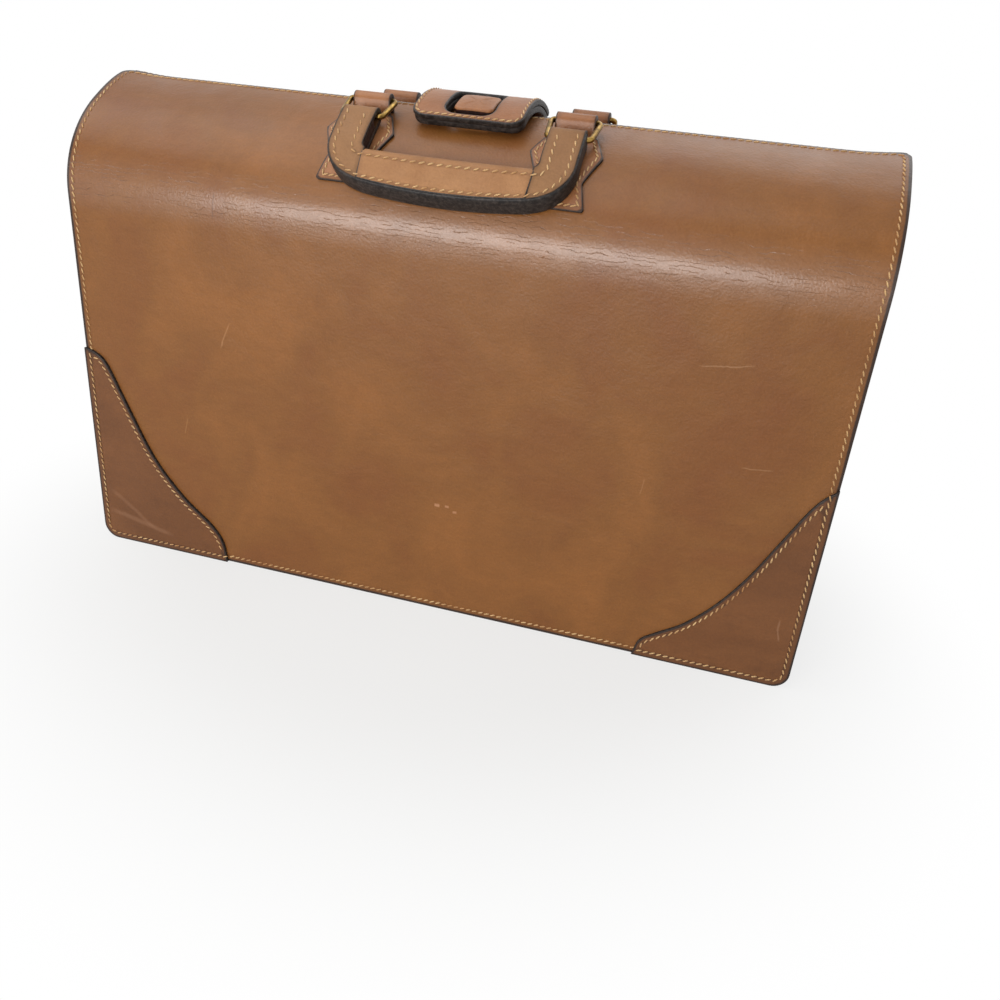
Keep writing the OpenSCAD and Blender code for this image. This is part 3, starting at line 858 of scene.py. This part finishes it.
def onHandle(x, a, h):  # a is the length up the handle from its lower edge, h out of its middle layer
    if a > eyeAlong + math.pi * eyeRadius:
        a, h = 2 * eyeAlong + math.pi * eyeRadius - a, -h
    if a > eyeAlong:
        return Vector((x, *(eyeCentre + h * outwards(eyeSlope - (a - eyeAlong) / eyeRadius))))
    a -= lowerEdge(x) * max(0, 1 - a / edge["fade"])
    return Vector((x, *(handleCentre + (handle["bend"] + h) * outwards(lowSlope - a / handle["bend"]))))


def arcPoints(centre, radius, first, last, steps):  # radius is one number, or one across and one up
    across, up = radius if isinstance(radius, tuple) else (radius, radius)
    return [Vector((centre[0] + across * math.cos(math.radians(first + (last - first) * i / steps)),
                    centre[1] + up * math.sin(math.radians(first + (last - first) * i / steps))))
            for i in range(steps + 1)]


def turnedOver(line, span):
    return [Vector((p[0], span - p[1])) for p in line]


legSpan = 2 * eyeAlong + math.pi * eyeRadius
cornerX, cornerR = handle["width"] / 2 - handle["corner"], handle["corner"]
innerR = 0.004
grip = {"strip": 0.0196, "proud": 0.0003, "thickness": 0.002, "slant": 0.0012}
row = {"side": 0.0037, "low": 0.0024, "inner": 0.0048, "gripInner": 0.0056}
outerX = handle["width"] / 2 - row["side"]
rowTop = eyeAlong - 0.001
outerRadii = (outerX - cornerX, cornerR - row["low"])
outerPath = [Vector((-outerX, rowTop))] + arcPoints((-cornerX, cornerR), outerRadii, 180, 270, 12) \
    + arcPoints((cornerX, cornerR), outerRadii, 270, 360, 12) + [Vector((outerX, rowTop))]
innerX = handle["width"] / 2 - handle["strip"] + row["inner"]
innerA = grip["strip"] - row["gripInner"]
innerHalf = [(innerX, rowTop - 0.002), (innerX, innerA + 0.003), (innerX - 0.003, innerA)]
innerPath = [Vector((-x, a)) for x, a in innerHalf] + [Vector(p) for p in innerHalf[::-1]]

skinR, wrapHalf = cornerR - edge["inset"], handle["wrap"] / 2
seamTurn = math.degrees(math.acos((wrapHalf - cornerX) / skinR))
innerTurn = math.degrees(math.acos((wrapHalf - cornerX) / innerR))
legOutline = arcPoints((cornerX, cornerR), skinR, -seamTurn, 0, 10) \
    + arcPoints((cornerX, legSpan - cornerR), skinR, 0, seamTurn, 10) \
    + arcPoints((cornerX, legSpan - cornerR), innerR, innerTurn, 0, 4) \
    + arcPoints((cornerX, cornerR), innerR, 0, -innerTurn, 4)
leg = cutLeather("handleLegRight", legOutline, {
    "thickness": handle["skin"], "rounding": 0.0007, "face": legLeather, "rim": blackEdge,
    "rows": [outerPath, innerPath, turnedOver(outerPath, legSpan), turnedOver(innerPath, legSpan)],
    "rules": (0.005, 0.0016)}, onHandle, handle["thickness"] / 2)
backLegs = joined("handleLegsBack", leg, copied(leg, "handleLegLeft", mirrorX))

noseRadius = handle["thickness"] / 2 + grip["proud"]
noseAt = grip["strip"] - noseRadius - edge["inset"]
wrapSpan = 2 * noseAt + math.pi * noseRadius


def onGrip(x, s, h):
    x += grip["slant"] * (1 if x > 0 else -1) * math.sin(math.pi * s / wrapSpan) * softStep(0.02, 0.042, abs(x))
    if s <= noseAt:
        return onHandle(x, s + edge["inset"], noseRadius + h)
    if s <= noseAt + math.pi * noseRadius:
        turn = (s - noseAt) / noseRadius
        radius = noseRadius + h
        return onHandle(x, noseAt + edge["inset"] + radius * math.sin(turn), radius * math.cos(turn))
    return onHandle(x, wrapSpan - s + edge["inset"], -noseRadius - h)


gripRows = [[Vector((side * wrapHalf, a - edge["inset"])) for side in (-1, 1)] for a in (row["low"], innerA)]
gripBack = cutLeather("gripWrapBack", cornerRounds(rectangle(handle["wrap"], 0, wrapSpan)), {
    "thickness": grip["thickness"], "face": gripLeather, "rim": blackEdge, "rules": (0.005, 0.0012),
    "rows": gripRows + [turnedOver(line, wrapSpan) for line in gripRows]}, onGrip)

coreHalf = handle["thickness"] / 2 - handle["skin"]
coreTop = eyeAlong - 0.0055
coreHalfCorners = [(0.0600, 0.0022, 0.0205), (0.0600, coreTop, 0), (0.0443, coreTop, 0), (0.0443, 0.0178, 0.0025),
                   (0.0405, 0.0178, 0), (0.0405, 0.0155, 0)]
coreCorners = coreHalfCorners + [(-x, y, r) for x, y, r in coreHalfCorners[::-1]]
coreCorners = coreCorners[-2:] + coreCorners[:-2]
corePlate = cutLeather("handleCorePlate", cornerRounds(coreCorners), {
    "thickness": 2 * coreHalf, "rounding": 0.0007, "face": redEdge, "rim": redEdge, "rules": (0.005, 0.004)},
    onHandle, coreHalf)


def makeRoll():  # the black edge: layers sanded round and painted, thicker and slanted outwards along the bottom
    # down the left side and round to the middle of the bottom, as (place, direction outwards), then the same mirrored
    line = []
    top, lowA = eyeAlong - 0.0005, edge["inset"]
    for i in range(13):
        line.append((Vector((lowA - handle["width"] / 2, top + (cornerR - top) * i / 12)), Vector((-1, 0))))
    for p in arcPoints((0, 0), 1, 180, 270, 16)[1:]:
        line.append((Vector((-cornerX, cornerR)) + p * (cornerR - lowA), p))
    for i in range(1, 17):
        line.append((Vector((-cornerX + 2 * cornerX * i / 32, lowA)), Vector((0, -1))))
    line += [(Vector((-at.x, at.y)), Vector((-out.x, out.y))) for at, out in line[-2::-1]]
    profile = [(-0.0012, 0.80), (-0.0002, 0.93)] + arcPoints((0, 0), 1, 90, -90, 12)
    deselect()
    bpy.ops.mesh.primitive_grid_add(x_subdivisions=len(profile) + 1, y_subdivisions=len(line) - 1, size=2)
    roll = named("handleRoll")
    wide = len(profile) + 2
    for vertex in roll.data.vertices:
        k, i = vertex.index % wide, vertex.index // wide
        at, out = line[i]
        low = max(0, -out.y) ** 2
        topH = handle["thickness"] / 2 - 0.0003
        lowH = -handle["thickness"] / 2 - edge["thicker"] - edge["lowThicker"] * low
        middle, half = (topH + lowH) / 2, (topH - lowH) / 2
        if k < 2:
            shift, h = profile[k][0], middle + half * profile[k][1]
        elif k < len(profile):
            c, n = profile[k]
            lean = (1 - n) / 2
            reach = edge["inset"] + edge["outset"] + edge["lowOutset"] * low * lean
            shift = reach * max(0, c) ** 0.45 + edge["lowOutset"] * low * lean * 0.5 * (1 - max(0, c))
            h = middle + half * math.copysign(abs(n) ** 0.9, n)
        else:
            past = k - len(profile)
            shift, h = -0.0008 - 0.0006 * past, lowH + 0.0010 if past == 0 else lowH * 0.4
        vertex.co = onHandle(*(at + out * shift), h)
    inEditMode(partial(bpy.ops.mesh.normals_make_consistent, inside=False))
    roll.data.materials.append(blackEdge)
    smooth(roll, 60)
    return roll


coreBack = joined("handleCoreBack", corePlate, makeRoll())
frontLegs = copied(backLegs, "handleLegsFront", halfTurn)
gripFront = copied(gripBack, "gripWrapFront", halfTurn)
coreFront = copied(coreBack, "handleCoreFront", halfTurn)
print("handles shaped")


# closing tab and its block

tab = {"width": 0.058, "bend": 0.050, "gap": 0.0025, "under": 0.0024, "upper": 0.0031, "reach": 0.033,
       "farTurn": 30, "strapTurn": 42, "corner": 0.007, "rimWidth": 0.0034, "slotWidth": 0.025,
       "farCorner": 0.003, "slotLength": 0.0305, "slotCorner": 0.006, "rowInset": 0.0019, "underShown": 0.0032,
       "strap": 0.0016, "strapWidth": 0.046, "strapBend": 20, "anchorEnd": 0.0463, "anchorStart": 0.0303,
       "anchor": 0.0014, "landing": (0.0385, 0.0405, 0.0425, 0.0443), "rowEnd": 0.004, "underInset": 0.0004}
crestZ = shoulderPoint(turnAtY(0))[1]
tabCentreZ = crestZ + tab["gap"] - tab["bend"]
tabTop = tab["bend"] + tab["under"] + tab["upper"]


def onTab(x, s, h):  # s is the height of the slope over the back, forwards from upright, at the tab's top face
    turn = s / tabTop
    return Vector((x, (tabTop + h) * math.sin(turn), tabCentreZ + (tabTop + h) * math.cos(turn)))


def alongTab(y):
    return tabTop * math.asin(y / tabTop)


nearEdge, farEdge = alongTab(-tab["reach"]), tabTop * math.radians(tab["farTurn"])
slotNear, slotFar = (alongTab(tab["rimWidth"] - tab["reach"] + y) for y in (0, tab["slotLength"]))


def ringedLeather(name, outer, inner, look, lift=0.0):
    # a ply with a slot: two outlines, both starting at the same side, bridged and finished
    count = 96
    middle = Vector((0, (slotNear + slotFar) / 2))
    places = []
    for outline in (outer, inner):
        start = min(range(len(outline)), key=lambda i: (outline[i] - middle).angle(Vector((1, -0.6)), 0))
        points = outline[start:] + outline[:start + 1]
        lengths = lengthsAlong(points)
        for i in range(count):
            along = lengths[-1] * i / count
            x, y = (float(np.interp(along, lengths, [p[axis] for p in points])) for axis in (0, 1))
            places.append((x, y, 0))
    deselect()
    bpy.ops.mesh.primitive_circle_add(vertices=count, radius=0.03)
    piece = named(name)
    inEditMode(bpy.ops.mesh.duplicate)
    for vertex, place in zip(piece.data.vertices, places):
        vertex.co = place
    inEditMode(partial(bpy.ops.mesh.bridge_edge_loops, number_cuts=3, interpolation="LINEAR"))
    return finishFlat(piece, [outer, inner], look, onTab, lift)


def tabCorners(inset):
    return rectangle(tab["width"] - 2 * inset, nearEdge + inset, farEdge - inset,
                     tab["corner"] - inset, tab["farCorner"])


slotOutline = cornerRounds(rectangle(tab["slotWidth"], slotNear, slotFar, tab["slotCorner"], tab["slotCorner"]))
border = cornerRounds(tabCorners(tab["rowInset"]))
rowX, rowEnd = tab["width"] / 2 - tab["rowInset"], farEdge - tab["rowEnd"]
openBorder = [Vector((-rowX, rowEnd))] + [p for p in border if p.y < 0] + [Vector((rowX, rowEnd))]
tabUpper = ringedLeather("tabUpperPly", cornerRounds(tabCorners(0)), slotOutline, {
    "rows": [openBorder], "thickness": tab["upper"], "rounding": 0.0009, "face": strapLeather, "rim": blackEdge})
tabUnder = ringedLeather("tabUnderPly", cornerRounds(tabCorners(tab["underInset"])), slotOutline, {
    "thickness": tab["underShown"], "rounding": 0.0007, "face": foldLeather, "rim": blackEdge}, -tab["upper"])

# the strap runs on from under the tab to its anchor, and bends between them
strapRadius = tab["bend"] + tab["under"]
strapTurns = [math.radians(tab["strapBend"] + (tab["strapTurn"] - tab["strapBend"]) * i / 16) for i in range(15)]
strapPath = [Vector((strapRadius * math.sin(turn), tabCentreZ + strapRadius * math.cos(turn))) for turn in strapTurns]


def anchorFace(y, out):
    turn = turnAtY(y)
    (py, pz), (ny, nz) = shoulderPoint(turn), shoulderNormal(turn)
    return Vector((-py - ny * out, pz + nz * out))


strapPath += [anchorFace(y, tab["anchor"] + tab["strap"]) for y in tab["landing"]]
strapLengths = lengthsAlong(strapPath)


def onStrap(x, s, h):
    i = max(j for j in range(len(strapPath) - 1) if strapLengths[j] <= max(0, s))
    a, b = strapPath[max(0, i - 1)], strapPath[min(len(strapPath) - 1, i + 2)]
    share = (s - strapLengths[i]) / (strapLengths[i + 1] - strapLengths[i])
    y, z = strapPath[i].lerp(strapPath[i + 1], share)
    run = (b - a).normalized()
    return Vector((x, y - run.y * h, z + run.x * h))


strapCorners = rectangle(tab["strapWidth"], 0, strapLengths[-1], 0, 0.003)
tabStrap = cutLeather("tabStrap", cornerRounds(strapCorners), {
    "thickness": tab["strap"], "rounding": 0.0005, "face": strapLeather, "rim": blackEdge, "rules": (0.006, 0.0012)},
    onStrap)

anchorLow, anchorHigh = lengthAtTurn(turnAtY(tab["anchorEnd"])), lengthAtTurn(turnAtY(tab["anchorStart"]))
anchorCorners = rectangle(tab["strapWidth"], anchorLow, anchorHigh, 0.003, 0)
tabAnchor = cutLeather("tabAnchor", cornerRounds(anchorCorners), {
    "thickness": tab["anchor"], "rounding": 0.0004, "face": strapLeather, "rim": blackEdge, "rules": (0.006, 0.0025)},
    onCase, tab["anchor"])
tabAnchor.data.transform(halfTurn)

block = {"width": 0.0205, "length": 0.0195, "tilt": 17.3, "drop": 0.0002, "deep": 0.0165, "corner": 0.0030,
         "edge": 0.0011, "shift": 0.0013, "crown": 0.0004}


def makeBlock():  # thick leather over a wooden block: a box with rounded corners, a crowned top and dark red-brown sides
    deselect()
    bpy.ops.mesh.primitive_cube_add(size=1)
    piece = named("blockCover")
    piece.scale = (block["width"], block["length"], block["deep"])
    bpy.ops.object.transform_apply(location=False, rotation=False, scale=True)
    upright = piece.data.attributes.new("bevel_weight_edge", "FLOAT", "EDGE")
    for line in piece.data.edges:
        a, b = (piece.data.vertices[i].co for i in line.vertices)
        upright.data[line.index].value = 1.0 if abs(a.z - b.z) > 0.001 else 0.0
    addBevel(piece, block["corner"], 5, "WEIGHT")
    addBevel(piece, block["edge"], 3, "ANGLE", 60)
    finer = piece.modifiers.new("finer", "SUBSURF")
    finer.levels = finer.render_levels = 2
    finer.subdivision_type = "SIMPLE"
    applyAll(piece)
    piece.data.materials.append(strapLeather)
    piece.data.materials.append(redEdge)
    top = block["deep"] / 2
    # every face below the top's rounded edge is coloured dark red-brown
    for face in piece.data.polygons:
        face.material_index = 0 if face.center.z > top - block["edge"] * 1.1 else 1
    tilt = math.radians(-block["tilt"])
    for vertex in piece.data.vertices:
        x, y, z = vertex.co
        crown = block["crown"] * (1 - (2 * x / block["width"]) ** 2)
        turn = y / tabTop + tilt
        out = tabTop - block["drop"] - top + z + crown * softStep(0, top, z) - block["crown"]
        vertex.co = (x + block["shift"], out * math.sin(turn), tabCentreZ + out * math.cos(turn))
    markWear(piece.data, *unworn)
    smooth(piece, 60)
    return piece


blockCover = makeBlock()
print("tab and block shaped")


# gussets and base

gusset = {"thickness": 0.0025, "flange": 0.009, "fold": 0.030, "height": 0.248, "bottom": 0.0095,
          "depth": 0.0045, "wrinkle": 0.0007, "split": 0.6, "sideGap": 0.0001, "topGap": 0.0003}
wallX = halfWidth - gusset["flange"]
gussetTopTurn = math.asin((gusset["height"] - case["wallHeight"]) / case["shoulderRise"])


def gussetEdge(v):  # half depth and height of the folded wall's edge, v from its foot to its top
    split = gusset["split"]
    if v <= split:
        foot = gusset["bottom"]
        return case["halfDepth"] - gusset["depth"], foot + (case["wallHeight"] - foot) * v / split
    turn = gussetTopTurn * (v - split) / (1 - split)
    (y, z), (ny, nz) = shoulderPoint(turn), shoulderNormal(turn)
    return -(y - ny * gusset["depth"]), z - nz * gusset["depth"]


def makeGusset():
    deselect()
    bpy.ops.mesh.primitive_grid_add(x_subdivisions=28, y_subdivisions=40, size=2)
    wall = named("gussetRight")
    for vertex in wall.data.vertices:
        u, v = vertex.co.x, (vertex.co.y + 1) / 2
        half, z = gussetEdge(v)
        crease = (1 + math.cos(math.pi * u)) / 2
        sharp = 0.75 * crease + 0.25 * max(0, 1 - abs(u) * 2.2)
        ripple = gusset["wrinkle"] * math.sin(9 * v + 7 * u) * math.sin(23 * v - 3 * u) * crease
        vertex.co = (wallX - gusset["fold"] * v * sharp - ripple, u * half, z)
    if wall.data.polygons[0].normal.x < 0:
        wall.data.flip_normals()
    thicken(wall, {"thickness": gusset["thickness"], "sharp": 60, "face": foldLeather, "rim": darkEdge})
    markWear(wall.data, *unworn)
    layer = wall.data.uv_layers.active
    if layer:
        layer.name = "flat"
    smooth(wall, 50)
    return wall


def makeFlange():
    inner, outer, top = wallX - gusset["thickness"], halfWidth - gusset["sideGap"], panelHeight - gusset["topGap"]
    corners = [(inner, 0, 0), (outer, 0, case["cornerRadius"]), (outer, top, 0), (inner, top, 0)]
    return cutLeather("flangeBackRight", cornerRounds(corners), {
        "thickness": gusset["thickness"], "face": foldLeather, "rim": darkEdge,
        "rules": (lambda low, high: [low + 0.004], panelRules)}, onCase, -case["panel"])


gussetRight = makeGusset()
flange = makeFlange()
gussetLeft = copied(gussetRight, "gussetLeft", mirrorX)
flanges = atFourPlaces(flange, "flange")

base = {"lift": 0.0095, "thickness": 0.0025, "length": 0.3966, "round": 0.003}
baseHalf = case["halfDepth"] - case["panel"]
baseRise = base["lift"] + base["thickness"]
baseSpan = 2 * (baseRise - base["round"]) + math.pi * base["round"] + 2 * (baseHalf - base["round"])


def onBase(x, s, h):  # up the back flange, over, and down the front one
    if s > baseSpan / 2:
        point = onBase(x, baseSpan - s, h)
        return Vector((x, -point.y, point.z))
    rise, r = baseRise - base["round"], base["round"]
    if s <= rise:
        return Vector((x, -baseHalf - h, s))
    if s <= rise + math.pi / 2 * r:
        turn = (s - rise) / r
        return Vector((x, -baseHalf + r - (r + h) * math.cos(turn), rise + (r + h) * math.sin(turn)))
    return Vector((x, -baseHalf + r + (s - rise - math.pi / 2 * r), baseRise + h))


def baseRules(low, high):
    rise = baseRise - base["round"]
    rows = [rise + math.pi / 2 * base["round"] * i / 5 for i in range(6)]
    return rows + [baseSpan - row for row in rows] + [low + (high - low) * i / 14 for i in range(3, 12)]


baseLeather = cutLeather("baseLeather", cornerRounds(rectangle(base["length"], 0, baseSpan)), {
    "thickness": base["thickness"], "rounding": 0.0005, "face": foldLeather, "rim": darkEdge,
    "rules": (0.03, baseRules)}, onBase)
print("gussets and base shaped")


# stitching

def overPatch(x, s):  # height of the leather that the edge row passes over
    cut = (cutRight if x > 0 else cutLeft)[::-1]
    reach = np.interp(s, [p.y for p in cut], [p.x for p in cut], left=cut[0].x, right=1)
    return cornerPatch["thickness"] if abs(x) > reach else 0.0


edgeRow = stitchRow(edgePath, onCase, overPatch, thread["pitch"], closed=True)
patchRows = stitchRow(seamRight, onCase, cornerPatch["thickness"], thread["pitch"])
patchRows += stitchRow([(-p.x, p.y) for p in seamLeft], onCase, cornerPatch["thickness"], thread["pitch"])
chapeRows = []
for side in (-1, 1):
    shifted = [(p.x + side * ring["legX"], p.y) for p in chapePath]
    chapeRows += stitchRow(shifted, onCase, handle["chape"], thread["chapePitch"])
backStitches = stitchPieces("stitchesBackHalf", edgeRow + patchRows + chapeRows, linenThread)
frontStitches = copied(backStitches, "stitchesFrontHalf", halfTurn)


def handleTop(x, s):
    return handle["thickness"] / 2 + (grip["proud"] if abs(x) < wrapHalf else 0)


def onUnderside(x, s, h):
    return onHandle(-x, s, -h)


handleRows = []
for place in (onHandle, onUnderside):
    for path in (outerPath, innerPath):
        handleRows += stitchRow(path, place, handleTop, thread["handlePitch"])
handleStitchesBack = stitchPieces("stitchesHandleBack", handleRows, linenThread)
handleStitchesFront = copied(handleStitchesBack, "stitchesHandleFront", halfTurn)

tabRows = stitchRow(openBorder, onTab, 0.0, thread["pitch"])
tabStitches = stitchPieces("stitchesTab", tabRows, linenThread)
anchorRow = [(-0.0195, anchorLow + 0.0035), (0.0195, anchorLow + 0.0035)]
anchorRows = stitchRow(anchorRow, onCase, tab["anchor"] + tab["strap"], thread["pitch"])
anchorStitches = stitchPieces("stitchesAnchor", anchorRows, linenThread)
anchorStitches.data.transform(halfTurn)
print("stitched")


# what each piece stands for and moves with

for piece, body, slot, *nodes in (
        (tabUpper, "tab", "strap_leather", "tab_upper"),
        (tabUnder, "tab", "strap_leather", "tab_under"),
        (tabStrap, None, "strap_leather"),
        (tabAnchor, "front_half", "strap_leather", "tab_anchor"),
        (blockCover, "back_half", "strap_leather", "block_cover"),
        (gussetRight, None, "patch_leather", "gusset_right"),
        (gussetLeft, None, "patch_leather", "gusset_left"),
        (baseLeather, None, "patch_leather", "base_leather"),
        (tabStitches, "tab", "strap_leather"),
        (anchorStitches, "front_half", "strap_leather")):
    finishPiece(piece, body, slot, *nodes)
# pairs and fours; stitches and flanges are extra pieces, and stand for no node
for pieces, part, slot, pattern in (
        ((backPanel, frontPanel), "half", "panel_leather", "{}_panel"),
        ((backFacing, frontFacing), "half", "lining_fabric", "{}_facing"),
        ((backLining, frontLining), "half", "lining_fabric", "{}_lining"),
        ((backLegs, frontLegs), "handle", "handle_leather", "handle_legs_{}"),
        ((gripBack, gripFront), "handle", "handle_leather", "grip_wrap_{}"),
        ((coreBack, coreFront), "handle", "filler_leather", "handle_core_{}"),
        ((backStitches, frontStitches), "half", "strap_leather", None),
        ((handleStitchesBack, handleStitchesFront), "handle", "strap_leather", None),
        (patches, "half", "patch_leather", "corner_patch_{}"),
        (chapes, "half", "patch_leather", "chape_patch_{}"),
        (loops, "half", "strap_leather", "chape_loop_{}"),
        (rings, "rings", "ring_brass", "ring_{}"),
        (flanges, "half", "patch_leather", None)):
    places = ("back", "front") if len(pieces) == 2 else ("back_right", "back_left", "front_right", "front_left")
    for piece, at in zip(pieces, places):
        finishPiece(piece, at.split("_")[0] + "_" + part, slot, *([pattern.format(at)] if pattern else []))
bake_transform(tabStrap)
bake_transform(gussetRight)
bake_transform(gussetLeft)
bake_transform(baseLeather)
for node, material in (("back_stay", steel), ("front_stay", steel), ("base_board", board),
                       ("base_lining", twill), ("block_core", beech)):
    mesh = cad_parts[node].data
    mesh.materials.clear()
    mesh.materials.append(material)


# floor, light and camera

def directRays(tree):  # 1 for what the camera sees straight, in a gloss or through glass
    rays = addNode(tree, "ShaderNodeLightPath").outputs
    seen = maths(tree, "ADD", rays["Is Camera Ray"], rays["Is Glossy Ray"])
    return maths(tree, "ADD", seen, rays["Is Transmission Ray"], use_clamp=True)


deselect()
bpy.ops.mesh.primitive_plane_add(size=12, location=(0, 0, 0))
floor = bpy.context.object
floor.name = "floor"
# matt white paper, rolled out; the camera sees it run on into white beyond the object
paper, tree, shader = newMaterial("mattWhitePaper")
setInputs(tree, shader, {"Base Color": linearColour("#c8c8c4"), "Roughness": 0.9, "Specular IOR Level": 0.1})
away = addNode(tree, "ShaderNodeVectorMath", {0: coordinates(tree, "Object")}, operation="LENGTH").outputs["Value"]
white = maths(tree, "MULTIPLY", softly(tree, away, (0.14, 0.34), (0.7, 1.0)), directRays(tree))
glow = addNode(tree, "ShaderNodeEmission", {"Color": (1, 1, 1, 1), "Strength": 1.0}).outputs[0]
shown = addNode(tree, "ShaderNodeMixShader", {0: white, 1: shader.outputs[0], 2: glow}).outputs[0]
tree.links.new(shown, tree.nodes["Material Output"].inputs["Surface"])
floor.data.materials.append(paper)

light = {
    "lamps": {  # place, size and power
        "keyLight": ((-0.60, -0.40, 1.6), (1.7, 1.3), 15),
        "windowLight": ((-0.20, -1.00, 0.26), (0.86, 0.29), 7.1),
        "fillLight": ((0.4, 0.9, 1.5), (1.4, 1.0), 7),
    },
    "aim": Vector((0, 0, 0.15)),
    "world": 0.28,
}
for name, (at, size, power) in light["lamps"].items():
    lamp = bpy.data.lights.new(name, "AREA")
    lamp.shape, lamp.size, lamp.size_y, lamp.energy = "RECTANGLE", size[0], size[1], power
    holder = newObject(name, lamp)
    holder.location = at
    holder.visible_camera = False
    holder.rotation_euler = (light["aim"] - Vector(at)).to_track_quat("-Z", "Y").to_euler()
world = bpy.data.worlds.new("studio")
bpy.context.scene.world = world
world.use_nodes = True
tree = world.node_tree
setInputs(tree, tree.nodes["Background"], {
    "Color": (1, 1, 1, 1), "Strength": ranged(tree, directRays(tree), (0.0, 1.0), (light["world"], 1.0))})

view = {
    "at": (0.1438, -0.4939, 0.2950),
    "right": (0.9598, 0.2678, 0.0837),
    "up": (-0.1910, 0.4053, 0.8940),
    "back": (0.2055, -0.8741, 0.4401),
    "lens": 32.88,
}
camera = newObject("camera", bpy.data.cameras.new("camera"))
turned = Matrix((view["right"], view["up"], view["back"])).transposed().to_4x4()
camera.matrix_world = Matrix.Translation(view["at"]) @ turned
camera.data.lens, camera.data.sensor_width = view["lens"], 36
camera.data.clip_start = 0.01
bpy.context.scene.camera = camera
bpy.context.scene.view_settings.view_transform = "Standard"

print("ready")
